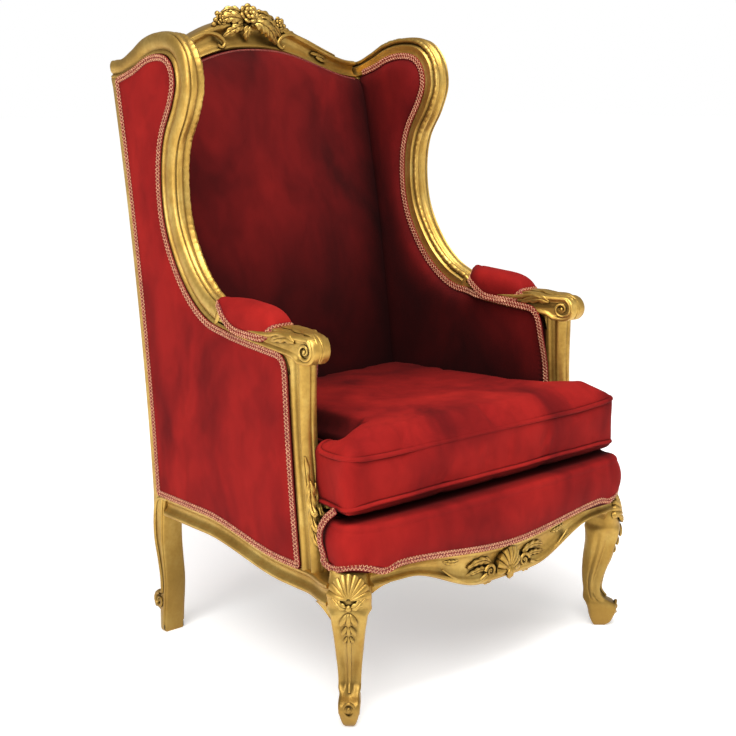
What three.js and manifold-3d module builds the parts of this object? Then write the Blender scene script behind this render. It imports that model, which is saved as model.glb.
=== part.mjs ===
// A carved and gilded wing armchair, a throne chair in the French rococo manner.
// Millimetres, +Z up, the sitter faces -Y, and +X is the sitter's left.
// The joinery is one glued carcass. The padded panels fill its openings, and the
// loose seat cushion rests on the sprung seat deck.
import * as THREE from 'three';
import { mergeVertices } from 'three/addons/utils/BufferGeometryUtils.js';
import Module from 'manifold-3d';

const wasm = await Module();
wasm.setup();

// ---------------------------------------------------------------- driving sizes

const GAP = 0.3;               // clearance between touching pieces
const ORIGIN_SHIFT_Y = -3;     // brings the middle of the chair's depth to the origin

// the two sides stand on near-vertical planes that spread apart towards the front
const SIDE_X = 300;            // half width at the top back corner
const SIDE_CORNER_Y = 340;     // depth at which SIDE_X is measured
const SIDE_FLARE = 0.055;      // half width gained per millimetre towards the front

// back posts: rear leg and raked stile in one timber
const SEAT_Z = 262;            // top of the seat rails at the back
const BACK_FOOT_Y = 230;       // middle of the rear foot
const STILE_DEPTH = 38;
const STILE_WIDTH = 42;
const STILE_TOP_Z = 1031;
const REAR_LEG_TOP_Z = 200;
const STILE_STEPS = 7;

// wing frames
const WING_WIDTH = 40;         // moulding width, seen from the side
const FRAME_THICK = 40;        // moulding thickness, across the chair
const WING_STEPS = 28;

// arms
const ARM_THICK = 60;
const ARM_OUTSET = 4;          // how far the arm stands outside the side plane
const POST_DEPTH = 38;
const POST_THICK = 38;
const POST_TOP_Z = 572;

// seat
const RAIL_HEIGHT = 38;
const RAIL_THICK = 32;
const RAIL_BACK_Y = 212.2;     // the side rails butt on the front of the back posts
const LEG_X = 320;             // front leg axis
const LEG_Y = -300;
const LEG_BLOCK = 30;          // half width of the block that takes both rails
const FRONT_Y = -345;          // face of the front rail in the middle
const FRONT_BOW = 15;          // how far the front rail bows forward
const DECK_ROLL = 10;          // the deck's front edge rolls this far below the cushion
const CUSHION_THICK = 98;
const CUSHION_LIFT_Z = 356;    // underside of the cushion at its front edge
const CUSHION_SLOPE = 0.03;    // the cushion drops towards the back
const PANEL_STAND = 50;        // inner padding, measured inwards from the side plane

// crest
const CREST_EDGE_Z = 1036;     // top of the crest where it meets the stiles
const CREST_RISE = 75;         // rise of the plain crest moulding in the middle
const CREST_LOW_EDGE_Z = 1003; // underside at the stiles
const CREST_LOW_RISE = 54;

const GILT = { color: 0xbd9441, roughness: 0.42, metalness: 0.75 };
const VELVET = { color: 0x8f1416, roughness: 0.9, metalness: 0 };

// ---------------------------------------------------------------- curves of the chair

const smooth = (t) => {
  const s = Math.min(Math.max(t, 0), 1);
  return s * s * (3 - 2 * s);
};
const steps = (from, to, count) =>
  Array.from({ length: count + 1 }, (_, i) => from + (to - from) * i / count);

const outerX = (y) => SIDE_X + SIDE_FLARE * (SIDE_CORNER_Y - y);

// the back edge of the stiles leans away and curves a little more towards the top
const backY = (z) => {
  const rise = Math.max(z - REAR_LEG_TOP_Z, 0);
  return 247 + 0.055 * rise + 0.0000935 * rise * rise;
};
const stileFrontY = (z) => backY(z) - STILE_DEPTH;

// the arm post leans forward towards the seat
const postBackY = (z) => {
  const drop = POST_TOP_Z - z;
  return -163 - 0.04 * drop - 0.00015 * drop * drop;
};

// the side rail's top edge drops towards the front leg
const railTopZ = (y) => SEAT_Z - 27 * smooth((80 - y) / 230);

// the front rail: arched top edge, and a lower edge that swells to the middle
const frontTopZ = (x) => 240 + 19 * smooth(Math.abs(x) / 250);
const frontBottomZ = (x) => 232 - 50 * (1 - smooth((Math.abs(x) - 60) / 170));
const frontY = (x) => FRONT_Y + FRONT_BOW * (x / LEG_X) ** 2;

// the crest: a flat arch that dips to the stiles
const crestShare = (x) => 1 - smooth(Math.abs(x) / (SIDE_X - STILE_WIDTH)) ** 1.3;
const crestTopZ = (x) => CREST_EDGE_Z + CREST_RISE * crestShare(x);
const crestBottomZ = (x) => CREST_LOW_EDGE_Z + CREST_LOW_RISE * crestShare(x);

// ---------------------------------------------------------------- geometry helpers

const spline = (points, count) => {
  const curve = new THREE.CatmullRomCurve3(
    points.map(([a, b]) => new THREE.Vector3(a, b, 0)), false, 'centripetal');
  return curve.getPoints(count).map((p) => [p.x, p.y]);
};

const arc = (centre, radius, from, to, count) =>
  steps(from, to, count).map((degrees) => {
    const angle = THREE.MathUtils.degToRad(degrees);
    return [centre[0] + radius * Math.cos(angle), centre[1] + radius * Math.sin(angle)];
  });

const area = (outline) => outline.reduce((sum, [a, b], i) => {
  const [c, d] = outline[(i + 1) % outline.length];
  return sum + (a * d - b * c) / 2;
}, 0);

// unit normals on the left of a line of points
const normals = (line, closed) => line.map((_, i) => {
  const last = line.length - 1;
  const before = line[closed ? (i + last) % line.length : Math.max(i - 1, 0)];
  const after = line[closed ? (i + 1) % line.length : Math.min(i + 1, last)];
  const here = line[i];
  const unit = ([a, b], [c, d]) => {
    const length = Math.hypot(c - a, d - b) || 1;
    return [(c - a) / length, (d - b) / length];
  };
  const first = before === here ? unit(here, after) : unit(before, here);
  const second = after === here ? unit(before, here) : unit(here, after);
  const sum = [-(first[1] + second[1]) / 2, (first[0] + second[0]) / 2];
  const scale = Math.max(sum[0] ** 2 + sum[1] ** 2, 0.35);
  return [sum[0] / scale, sum[1] / scale];
});

// moves a closed outline inwards
const inset = (outline, distance) => {
  const sign = Math.sign(area(outline));
  const lean = normals(outline, true);
  return outline.map(([a, b], i) =>
    [a + sign * distance * lean[i][0], b + sign * distance * lean[i][1]]);
};

const capTriangles = (ring) => {
  const normal = new THREE.Vector3();
  ring.forEach((p, i) => normal.add(p.clone().cross(ring[(i + 1) % ring.length])));
  const u = ring[0].clone().sub(ring[Math.floor(ring.length / 2)]);
  u.addScaledVector(normal.normalize(), -u.dot(normal)).normalize();
  const v = normal.clone().cross(u);
  const flat = ring.map((p) => new THREE.Vector2(p.dot(u), p.dot(v)));
  return THREE.ShapeUtils.triangulateShape(flat, []);
};

const toManifold = (geometry) => {
  const plain = new THREE.BufferGeometry();
  plain.setAttribute('position', geometry.getAttribute('position').clone());
  if (geometry.index) plain.setIndex(geometry.index.clone());
  const merged = mergeVertices(plain, 1e-4);
  return new wasm.Manifold(new wasm.Mesh({
    numProp: 3,
    vertProperties: new Float32Array(merged.getAttribute('position').array),
    triVerts: new Uint32Array(merged.index.array),
  }));
};

const toGeometry = (solid) => {
  const mesh = solid.getMesh();
  const geometry = new THREE.BufferGeometry();
  geometry.setAttribute('position', new THREE.Float32BufferAttribute(mesh.vertProperties, 3));
  geometry.setIndex(Array.from(mesh.triVerts));
  return geometry;
};

// the end of a ring that is one row of points out and an equal row back
const stripTriangles = (ring) => {
  const last = ring.length - 1;
  return steps(0, ring.length / 2 - 2, ring.length / 2 - 2).flatMap((i) => [
    [i, i + 1, last - i - 1], [i, last - i - 1, last - i],
  ]);
};

// a closed solid through a row of equal rings of points
const loft = (rings, capOf = capTriangles) => {
  const count = rings[0].length;
  const points = rings.flat();
  const faces = [];
  for (let i = 0; i < rings.length - 1; i += 1) {
    for (let j = 0; j < count; j += 1) {
      const a = i * count + j;
      const b = i * count + (j + 1) % count;
      faces.push([a, b, b + count], [a, b + count, a + count]);
    }
  }
  const top = (rings.length - 1) * count;
  capOf(rings[0]).forEach(([a, b, c]) => faces.push([c, b, a]));
  capOf(rings[rings.length - 1]).forEach(([a, b, c]) =>
    faces.push([top + a, top + b, top + c]));
  const volume = faces.reduce((sum, [a, b, c]) =>
    sum + points[a].dot(points[b].clone().cross(points[c])), 0);
  const index = faces.flatMap(([a, b, c]) => (volume > 0 ? [a, b, c] : [a, c, b]));
  const geometry = new THREE.BufferGeometry();
  geometry.setAttribute('position',
    new THREE.Float32BufferAttribute(points.flatMap((p) => [p.x, p.y, p.z]), 3));
  geometry.setIndex(index);
  return geometry;
};

// leaves out doubled points and points in the middle of a straight run
const cornersOnly = (outline) => outline.filter((here, i) => {
  const before = outline[(i + outline.length - 1) % outline.length];
  const after = outline[(i + 1) % outline.length];
  return Math.abs(area([before, here, after])) > 0.01;
});

// an outline raised through levels of [inset, depth]
const plate = (outline, levels, place) => {
  const corners = cornersOnly(outline);
  return loft(levels.map(([distance, depth]) =>
    inset(corners, distance).map(([a, b]) => place(a, b, depth))));
};

// a moulding: its profile of [across, depth] carried along a flat line
const moulding = (line, profile, place) => {
  const lean = normals(line, false);
  return loft(line.map(([a, b], i) => profile.map(([across, depth]) =>
    place(a + lean[i][0] * across, b + lean[i][1] * across, depth))));
};

// a lobed dome: flowers, shells and leaf bosses are joined from these
const carving = ({ lobes, across, along, rise }, centre, outward, up) => {
  const w = outward.clone().normalize();
  const v = up.clone().addScaledVector(w, -up.dot(w)).normalize();
  const u = v.clone().cross(w);
  const count = lobes * 2;
  const ring = (share, height) => steps(0, 2 * Math.PI, count).slice(0, count).map((turn) => {
    const angle = Math.PI / 2 + turn;
    const reach = share * (0.86 + 0.14 * Math.cos(lobes * turn));
    return centre.clone()
      .addScaledVector(u, across * reach * Math.cos(angle))
      .addScaledVector(v, along * reach * Math.sin(angle))
      .addScaledVector(w, height);
  });
  return loft([ring(0.96, -rise * 0.5), ring(1, 0), ring(0.55, rise)]);
};

const join = (first, ...others) => toGeometry(
  others.reduce((solid, other) => solid.add(toManifold(other)), toManifold(first)));
const cut = (first, ...others) => toGeometry(
  others.reduce((solid, other) => solid.subtract(toManifold(other)), toManifold(first)));

const chair = new THREE.Group();
chair.position.y = ORIGIN_SHIFT_Y;

const add = (name, geometry, look) => {
  const flat = geometry.index ? geometry.toNonIndexed() : geometry;
  flat.computeVertexNormals();
  const mesh = new THREE.Mesh(flat, new THREE.MeshStandardMaterial(look));
  mesh.name = name;
  chair.add(mesh);
};

const SIDES = [['right', -1], ['left', 1]];
// a place on a side: depth is measured inwards from the side plane
const onSide = (side) => (y, z, depth) => new THREE.Vector3(side * (outerX(y) - depth), y, z);

// ---------------------------------------------------------------- back posts

const rearLegFront = spline([[BACK_FOOT_Y - 9, 0], [218, 36], [212, 98], [216, 140], [219, 176],
  [217, 224], [stileFrontY(SEAT_Z), SEAT_Z]], 8);
const rearLegBack = spline([[252, REAR_LEG_TOP_Z + 20], [250, 176], [240, 138], [233, 104],
  [232, 84]], 5);

const STILE_LEVELS = steps(SEAT_Z, STILE_TOP_Z, STILE_STEPS);

const backPostOutline = () => {
  const up = STILE_LEVELS.slice(1).map((z) => [stileFrontY(z), z]);
  const down = steps(STILE_TOP_Z, SEAT_Z, STILE_STEPS).map((z) => [backY(z), z]);
  const volute = arc([236, 58], 19, 98, -82, 7);
  return [...rearLegFront, ...up, ...down, ...rearLegBack, ...volute, [BACK_FOOT_Y + 9, 0]];
};

const backPost = (side) => plate(backPostOutline(),
  [[4, 0], [0, 4], [0, STILE_WIDTH - 4], [4, STILE_WIDTH]],
  (y, z, depth) => new THREE.Vector3(
    side * (outerX(y) - depth), y, Math.max(z, 0)));

// ---------------------------------------------------------------- wing frames

// outer edge of the wing: sharp back corner, rounded ear, waist, sweep into the arm
const WING_KEYS = [
  [stileFrontY(1036) - GAP, 1036], [288, 1051], [250, 1070], [200, 1080], [148, 1073],
  [114, 1042], [102, 990], [118, 940], [146, 890], [155, 838], [146, 762], [108, 692],
  [66, 652], [26, 632],
];
const wingLine = spline(WING_KEYS, WING_STEPS);
const wingLean = normals(wingLine, false);
const wingOffset = (distance) => wingLine.map(([y, z], i) =>
  [y + wingLean[i][0] * distance, z + wingLean[i][1] * distance]);
const wingEnd = wingLine[WING_STEPS];
const wingInnerEnd = wingOffset(WING_WIDTH)[WING_STEPS];

// flat fillet beside the fabric, wide hollow, and a round nose on the free edge
const WING_PROFILE = [
  [WING_WIDTH, 4], [30, 0], [22, 5], [8, 3], [0, 10],
  [0, FRAME_THICK - 10], [8, FRAME_THICK - 3], [22, FRAME_THICK - 5], [30, FRAME_THICK],
  [WING_WIDTH, FRAME_THICK - 4],
];

const wingFrame = (side) => {
  const place = onSide(side);
  const blank = moulding(wingLine, WING_PROFILE, place);
  // the top end is trimmed square to the stile
  const stile = plate(
    [[stileFrontY(900) - GAP, 900], [stileFrontY(1100) - GAP, 1100], [420, 1100], [420, 900]],
    [[0, -20], [0, 80]], place);
  return cut(blank, stile);
};

// ---------------------------------------------------------------- arms

const along = [wingEnd[0] - wingLine[WING_STEPS - 1][0], wingEnd[1] - wingLine[WING_STEPS - 1][1]];
const alongLength = Math.hypot(...along);
const jointShift = along.map((v) => v / alongLength * GAP);

// the arm's upper edge dips under the pad and rises again to the scroll
const SCROLL = [-207, 588];
const SCROLL_RADIUS = 27;
const armTop = spline([[10, 619], [-20, 611], [-110, 607], [-138, 612]], 8);
const armLow = spline([[-165, 576], [-110, 577], [-50, 581], [10, 590]], 8);

// the arm's upper edge from the joint with the wing, which the pad covers
const armSeat = [[wingEnd[0] + jointShift[0], wingEnd[1] + jointShift[1]], ...armTop];

const armOutline = () => [
  [wingInnerEnd[0] + jointShift[0], wingInnerEnd[1] + jointShift[1]],
  ...armSeat,
  [-150, 620], [-178, 620],
  ...arc(SCROLL, SCROLL_RADIUS, 80, 275, 12),
  [-186, 566], [-176, POST_TOP_Z + GAP + 2], [-170, POST_TOP_Z + GAP + 2],
  ...armLow,
];

const armBlank = (side, grow) => plate(armOutline(),
  [[5 - grow, -grow], [-grow, 5], [-grow, ARM_THICK - 5], [5 - grow, ARM_THICK + grow]],
  (y, z, depth) => onSide(side)(y, z, depth - ARM_OUTSET));

const armRail = (side) => {
  const place = onSide(side);
  const eye = SCROLL_RADIUS * 0.55;
  const bosses = [[-ARM_OUTSET, 1], [ARM_THICK - ARM_OUTSET, -1]].map(([depth, turn]) =>
    carving({ lobes: 6, across: eye, along: eye, rise: 5 },
      place(SCROLL[0], SCROLL[1], depth), new THREE.Vector3(side * turn, 0, 0),
      new THREE.Vector3(0, 0, 1)));
  const leaf = carving({ lobes: 7, across: 24, along: 34, rise: 9 },
    place(-190, 612, ARM_THICK / 2 - ARM_OUTSET), new THREE.Vector3(0, -0.45, 1),
    new THREE.Vector3(0, 1, 0));
  return join(armBlank(side, 0), ...bosses, leaf);
};

// [forward, depth]: a grooved outer face and rounded front corners
const POST_PROFILE = [
  [0, 6], [3, 1], [13, 0], [19, 3], [25, 0], [POST_DEPTH - 5, 1], [POST_DEPTH, 8],
  [POST_DEPTH, POST_THICK - 8], [POST_DEPTH - 5, POST_THICK - 1], [3, POST_THICK - 1],
  [0, POST_THICK - 6],
];

const armPost = (side) => {
  // the foot follows the sloping rail, the head meets the arm
  const rings = steps(0, 1, 8).map((share) => POST_PROFILE.map(([front, depth]) => {
    const low = railTopZ(postBackY(SEAT_Z - 20) - front) + GAP;
    const z = low + (POST_TOP_Z + 4 - low) * share;
    return onSide(side)(postBackY(z) - front, z, depth);
  }));
  const leaf = carving({ lobes: 5, across: 14, along: 46, rise: 12 },
    onSide(side)(postBackY(320) - POST_DEPTH + 2, 320, POST_THICK - 12),
    new THREE.Vector3(-side * 0.35, -1, 0), new THREE.Vector3(0, 0, 1));
  return cut(join(loft(rings), leaf), armBlank(side, GAP));
};

// ---------------------------------------------------------------- seat frame

const sideRail = (side) => {
  const front = LEG_Y + LEG_BLOCK + GAP;
  return loft(steps(RAIL_BACK_Y, front, 8).map((y) => {
    const top = railTopZ(y);
    const low = top - RAIL_HEIGHT;
    return [
      [0, top - 3], [0, top - 10], [4, top - 16], [1, low + 8], [5, low], [RAIL_THICK - 4, low],
      [RAIL_THICK, low + 6], [RAIL_THICK, top], [3, top],
    ].map(([depth, z]) => onSide(side)(y, z, depth));
  }));
};

const frontBlank = (grow) => {
  const end = LEG_X - LEG_BLOCK - GAP + grow;
  return loft(steps(-end, end, 22).map((x) => {
    const top = frontTopZ(x) + grow;
    const low = frontBottomZ(x);
    const height = top - low;
    const back = RAIL_THICK + grow;
    return [
      [1 - grow, top], [-grow, top - 4], [-grow, top - height * 0.35], [5, top - height * 0.55],
      [1, low + 8], [4, low], [back - 6, low], [back, low + 6], [back, top],
    ].map(([depth, z]) => new THREE.Vector3(x, frontY(x) + depth, z));
  }));
};

const frontRail = () => {
  const outward = new THREE.Vector3(0, -1, -0.1);
  const up = new THREE.Vector3(0, 0, 1);
  const shell = carving({ lobes: 7, across: 27, along: 24, rise: 13 },
    new THREE.Vector3(0, FRONT_Y + 4, 206), outward, up);
  const leaves = [-1, 1].map((turn) => carving({ lobes: 5, across: 40, along: 12, rise: 9 },
    new THREE.Vector3(turn * 62, frontY(62) + 3, 211), outward,
    new THREE.Vector3(turn * 0.25, 0, 1)));
  return join(frontBlank(0), shell, ...leaves);
};

const backRail = () => {
  const half = outerX(backY(SEAT_Z)) - STILE_WIDTH - GAP;
  const low = SEAT_Z - RAIL_HEIGHT;
  const front = stileFrontY(SEAT_Z) + 2;
  const back = backY(low) - 4;
  return loft([-half, half].map((x) => [
    [front, low + 4], [front + 4, low], [back - 4, low], [back, low + 4],
    [back, SEAT_Z], [front, SEAT_Z],
  ].map(([y, z]) => new THREE.Vector3(x, y, z))));
};

// ---------------------------------------------------------------- front legs

// the cabriole line, level by level: [z, outer, inner, half width, block]
// outer and inner are measured along the corner's diagonal from the leg's axis
const LEG_LEVELS = [
  [0, 4, 18, 10, 22], [6, 12, 22, 13, 25], [18, 18, 27, 17, 28], [32, 23, 30, 20, 31],
  [42, 20, 34, 20, 32], [52, 4, 40, 18, 30], [66, -8, 43, 17, 28], [90, -7, 46, 18, 30],
  [115, 2, 44, 20, 32], [140, 11, 41, 22, 34], [165, 18, 38, 25, 36], [186, 24, 40, 29, 34],
  [196, 26, 46, 44, LEG_BLOCK], [216, 26, 46, 44, LEG_BLOCK], [234, 18, 46, 44, LEG_BLOCK],
  [248, 9, 46, 44, LEG_BLOCK], [254, 2, 46, 44, LEG_BLOCK],
];

const frontLeg = (side) => {
  const count = 12;
  const rings = LEG_LEVELS.map(([z, outer, inner, half, block]) => {
    const middle = (outer - inner) / 2;
    const reach = (outer + inner) / 2;
    // flat sides: out, across, in, and the four faces that lie along the rails
    const faces = [0, 90, 180, 270, 45, 135, 225, 315].map((degrees) => {
      const angle = THREE.MathUtils.degToRad(degrees);
      const distance = [reach, half, reach, half][degrees / 90]
        ?? block + (degrees < 90 || degrees > 270 ? -1 : 1) * middle * Math.SQRT1_2;
      return [angle, distance];
    });
    return steps(0, 2 * Math.PI, count).slice(0, count).map((angle) => {
      const radius = Math.min(...faces
        .filter(([face]) => Math.cos(angle - face) > 0.2)
        .map(([face, distance]) => distance / Math.cos(angle - face)));
      const out = middle + radius * Math.cos(angle);
      const across = radius * Math.sin(angle);
      return new THREE.Vector3(
        side * (LEG_X + (out + across) * Math.SQRT1_2),
        LEG_Y + (across - out) * Math.SQRT1_2, z);
    });
  });
  const diagonal = (out, z) => new THREE.Vector3(
    side * (LEG_X + out * Math.SQRT1_2), LEG_Y - out * Math.SQRT1_2, z);
  const outward = new THREE.Vector3(side, -1, 0);
  const up = new THREE.Vector3(0, 0, 1);
  const shell = carving({ lobes: 9, across: 24, along: 27, rise: 9 },
    diagonal(20, 222), new THREE.Vector3(side, -1, 0.55), up);
  const husks = [[180, 13, 17], [152, 10, 14], [128, 8, 12]].map(([z, across, tall]) =>
    carving({ lobes: 5, across, along: tall, rise: 6 },
      diagonal(-4 + (z - 100) * 0.33, z), outward, up));
  return join(loft(rings), shell, ...husks);
};

// ---------------------------------------------------------------- crest rail

const crestRail = () => {
  const end = outerX(backY(STILE_TOP_Z)) - STILE_WIDTH - GAP;
  const rings = steps(-end, end, 18).map((x) => {
    const top = crestTopZ(x);
    const low = crestBottomZ(x);
    const profile = [
      [STILE_DEPTH - 4, low], [STILE_DEPTH + 1, low + 8], [STILE_DEPTH - 4, top - 18],
      [STILE_DEPTH + 2, top - 9], [STILE_DEPTH - 3, top - 1], [6, top - 2], [1, top - 8],
      [2, low + 3], [5, low],
    ];
    return profile.map(([front, z]) => new THREE.Vector3(x, backY(z) - front, z));
  });
  const outward = new THREE.Vector3(0, -1, 0.15);
  const up = new THREE.Vector3(0, 0, 1);
  const flowerY = backY(1110) - STILE_DEPTH + 10;
  const flower = carving({ lobes: 6, across: 27, along: 25, rise: 18 },
    new THREE.Vector3(0, flowerY, 1114), outward, up);
  const leaves = [-1, 1].map((turn) => carving({ lobes: 7, across: 36, along: 15, rise: 12 },
    new THREE.Vector3(turn * 38, flowerY, 1101), outward, new THREE.Vector3(turn * 0.35, 0, 1)));
  return join(loft(rings), ...leaves, flower);
};

// ---------------------------------------------------------------- padded panels

// the opening of a side: wing, arm, post, side rail and stile around it
const sideOpening = () => {
  const wing = wingOffset(WING_WIDTH).filter(([y, z]) => y < stileFrontY(z) - 2);
  const corner = [stileFrontY(wing[0][1]), wing[0][1]];
  const arm = armLow.slice().reverse();
  const postTop = arm[arm.length - 1][1];
  const post = steps(postTop, railTopZ(-190), 8).map((z) => [postBackY(z), z]);
  const foot = post[post.length - 1];
  const rail = steps(foot[0] + 20, stileFrontY(SEAT_Z) - 20, 10).map((y) => [y, railTopZ(y)]);
  const stile = STILE_LEVELS.filter((z) => z < wing[0][1] - 20).map((z) => [stileFrontY(z), z]);
  return [corner, ...wing, ...arm.slice(1, -1), ...post, ...rail, ...stile];
};

// [inset, depth]: the outer cloth is nearly flat, the inner padding is rounded
const OUTSIDE_LEVELS = [[1, 18], [2, 2]];
const INSIDE_LEVELS = [[1, 20], [2, 42], [13, PANEL_STAND]];
const sidePanel = (side, levels) => plate(sideOpening(), levels, onSide(side));

const INNER_STAND = 30;        // inner back padding, forward of the stiles
const BACK_SKIN = 6;
const innerHalf = (y) => outerX(y) - PANEL_STAND - 1.5;

const insideBack = () => {
  const low = SEAT_Z + 2;
  const across = steps(-1, 1, 10);
  return loft(steps(0, 1, 7).map((share) => {
    const point = (turn, front) => {
      const reach = turn * (SIDE_X - PANEL_STAND);
      const z = low + (crestBottomZ(reach) - 2.5 - low) * share;
      const rounding = 1 - Math.abs(2 * share - 1) ** 8;
      const crown = (1 - 0.3 * Math.abs(turn) ** 6) * rounding;
      const y = backY(z) - front - INNER_STAND * crown * (front > BACK_SKIN + 3);
      return new THREE.Vector3(turn * (innerHalf(y) + 0.5), y, z);
    };
    return [
      ...across.map((turn) => point(turn, STILE_DEPTH)),
      ...across.slice().reverse().map((turn) => point(turn, BACK_SKIN + 3)),
    ];
  }), stripTriangles);
};

const outsideBack = () => {
  const low = SEAT_Z + 2;
  const across = steps(-1, 1, 8);
  const half = SIDE_X - STILE_WIDTH - 3;
  return loft(steps(0, 1, 5).map((share) => {
    const point = (turn, front) => {
      const x = turn * half;
      const z = low + (crestBottomZ(x) - 2.5 - low) * share;
      return new THREE.Vector3(x, backY(z) - front, z);
    };
    return [
      ...across.map((turn) => point(turn, BACK_SKIN + 1)),
      ...across.slice().reverse().map((turn) => point(turn, 1)),
    ];
  }), stripTriangles);
};

// ---------------------------------------------------------------- seat and cushion

// a T-shaped plan: the body fits between the side panels, and the front part
// widens in front of the arm posts
const seatPlan = (bodyHalf, frontHalf, earY, rearY, front, corner) => {
  const reach = frontHalf - corner;
  const nose = steps(-1, 1, 8).map((t) => [t * reach, front(t * reach)]);
  const turn = arc([reach, front(reach) + corner], corner, -75, 0, 3);
  const side = [[frontHalf, earY], [bodyHalf(earY), earY], [bodyHalf(rearY), rearY]];
  const half = [...turn, ...side];
  return cornersOnly([...nose, ...half, ...half.map(([x, y]) => [-x, y]).reverse()]);
};

const seatTilt = (y) => (LEG_Y - y) * CUSHION_SLOPE;
const postFrontY = (z) => postBackY(z) - POST_DEPTH;
const deckRear = stileFrontY(300) - INNER_STAND - 3;

const DECK_FRONT_HALF = 333;

const seatDeck = () => {
  const earY = postFrontY(SEAT_Z) - 6;
  const outline = seatPlan(innerHalf, DECK_FRONT_HALF, earY, deckRear, (x) => frontY(x) - 4, 34);
  // the front border stands on the rails, swells above them and rolls over at the top
  const top = (y) => CUSHION_LIFT_Z + seatTilt(y) - 1 - DECK_ROLL * smooth((earY - y) / 60);
  const levels = [
    [2, 0, (y, x) => (y < earY ? frontTopZ(x) + 1 : SEAT_Z + 2)], [2, 10, () => 284],
    [2, 14, () => 304], [2, 10, () => 320], [6, 2, (y) => top(y) - 8], [20, 0, top],
  ];
  return cut(loft(levels.map(([distance, swell, z]) => inset(outline, distance).map(([x, y]) => {
    const bulge = swell * smooth((earY - y) / 60);
    return new THREE.Vector3(x * (1 + bulge / DECK_FRONT_HALF), y - bulge, z(y, x));
  }))), frontBlank(GAP));
};

const CUSHION_FRONT_HALF = 312;

const seatCushion = () => {
  const earY = postFrontY(400) - 10;
  const rear = stileFrontY(400) - INNER_STAND - 4;
  const body = (y) => innerHalf(y) - 3;
  const outline = seatPlan(body, CUSHION_FRONT_HALF, earY, rear,
    (x) => -336 + 22 * (x / 300) ** 2, 28);
  // [inset, height, share of the plan]: boxed sides, and a crowned top
  const levels = [
    [14, 0, 1], [3, 3, 1], [0, 12, 1], [-2, CUSHION_THICK / 2, 1], [0, CUSHION_THICK - 12, 1],
    [3, CUSHION_THICK - 3, 1], [20, CUSHION_THICK + 4, 1], [20, CUSHION_THICK + 14, 0.72],
  ];
  const middleY = (rear + earY) / 2 - 20;
  return loft(levels.map(([distance, height, share]) => inset(outline, distance).map(([x, y]) =>
    new THREE.Vector3(x * share, middleY + (y - middleY) * share,
      CUSHION_LIFT_Z + seatTilt(y) + height))));
};

// the height of a line of points, listed from back to front, at a depth
const heightAt = (line, y) => {
  const next = Math.max(line.findIndex(([depth]) => depth <= y), 1);
  const [[y0, z0], [y1, z1]] = [line[next - 1], line[next]];
  return z0 + (z1 - z0) * (y - y0) / (y1 - y0);
};

const armPad = (side) => {
  const from = 21;
  const to = -137;
  return loft(steps(0, 1, 10).map((share) => {
    const y = from + (to - from) * share;
    const wood = heightAt(armSeat, y) + 3 * GAP;
    const swell = Math.max(1 - Math.abs(2 * share - 1) ** 3, 0.12);
    const half = (ARM_THICK / 2 - 3) * (0.72 + 0.28 * swell);
    const top = 4 + 34 * swell ** 0.8;
    const middle = ARM_THICK / 2 - ARM_OUTSET;
    return [
      [-1, 0], [-1, 0.35], [-0.8, 0.75], [-0.35, 0.98], [0.35, 0.98], [0.8, 0.75],
      [1, 0.35], [1, 0],
    ].map(([a, b]) => onSide(side)(y, wood + b * top, middle + a * half));
  }));
};

// ---------------------------------------------------------------- assembly

for (const [word, side] of SIDES) {
  add(`back_post_${word}`, backPost(side), GILT);
  add(`wing_frame_${word}`, wingFrame(side), GILT);
  add(`arm_rail_${word}`, armRail(side), GILT);
  add(`arm_post_${word}`, armPost(side), GILT);
  add(`side_rail_${word}`, sideRail(side), GILT);
  add(`front_leg_${word}`, frontLeg(side), GILT);
  add(`outside_side_${word}`, sidePanel(side, OUTSIDE_LEVELS), VELVET);
  add(`inside_side_${word}`, sidePanel(side, INSIDE_LEVELS), VELVET);
  add(`arm_pad_${word}`, armPad(side), VELVET);
}
add('front_rail', frontRail(), GILT);
add('back_rail', backRail(), GILT);
add('crest_rail', crestRail(), GILT);
add('inside_back', insideBack(), VELVET);
add('outside_back', outsideBack(), VELVET);
add('seat_deck', seatDeck(), VELVET);
add('seat_cushion', seatCushion(), VELVET);

export default chair;
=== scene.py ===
"""A carved and gilded wing armchair, used as a throne.

Shapes are worked in millimetres, in the joiner's own frame: the sitter faces -Y, +X is
the sitter's left, and depth on a side is measured inwards from its slanting side plane.
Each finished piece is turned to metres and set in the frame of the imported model.
"""

import math

import bmesh
import bpy
import numpy as np
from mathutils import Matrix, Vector
from mathutils.bvhtree import BVHTree


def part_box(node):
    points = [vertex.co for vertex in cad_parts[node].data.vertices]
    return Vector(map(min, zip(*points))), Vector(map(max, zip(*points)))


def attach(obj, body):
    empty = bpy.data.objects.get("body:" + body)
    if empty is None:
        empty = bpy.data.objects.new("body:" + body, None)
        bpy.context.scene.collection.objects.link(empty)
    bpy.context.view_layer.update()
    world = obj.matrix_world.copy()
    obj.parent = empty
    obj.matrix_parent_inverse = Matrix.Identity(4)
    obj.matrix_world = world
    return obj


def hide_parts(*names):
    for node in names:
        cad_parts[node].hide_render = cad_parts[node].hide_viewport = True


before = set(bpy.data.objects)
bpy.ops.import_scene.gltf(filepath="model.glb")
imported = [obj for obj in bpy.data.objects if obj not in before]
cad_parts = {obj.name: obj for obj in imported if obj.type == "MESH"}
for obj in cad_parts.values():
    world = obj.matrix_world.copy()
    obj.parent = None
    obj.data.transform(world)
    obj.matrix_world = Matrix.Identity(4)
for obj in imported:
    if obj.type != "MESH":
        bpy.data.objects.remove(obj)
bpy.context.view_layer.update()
scene = bpy.context.scene
MM = 0.001
SIDES = (("right", -1), ("left", 1))

# ---------------------------------------------------------------- sizes of the joinery

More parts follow.
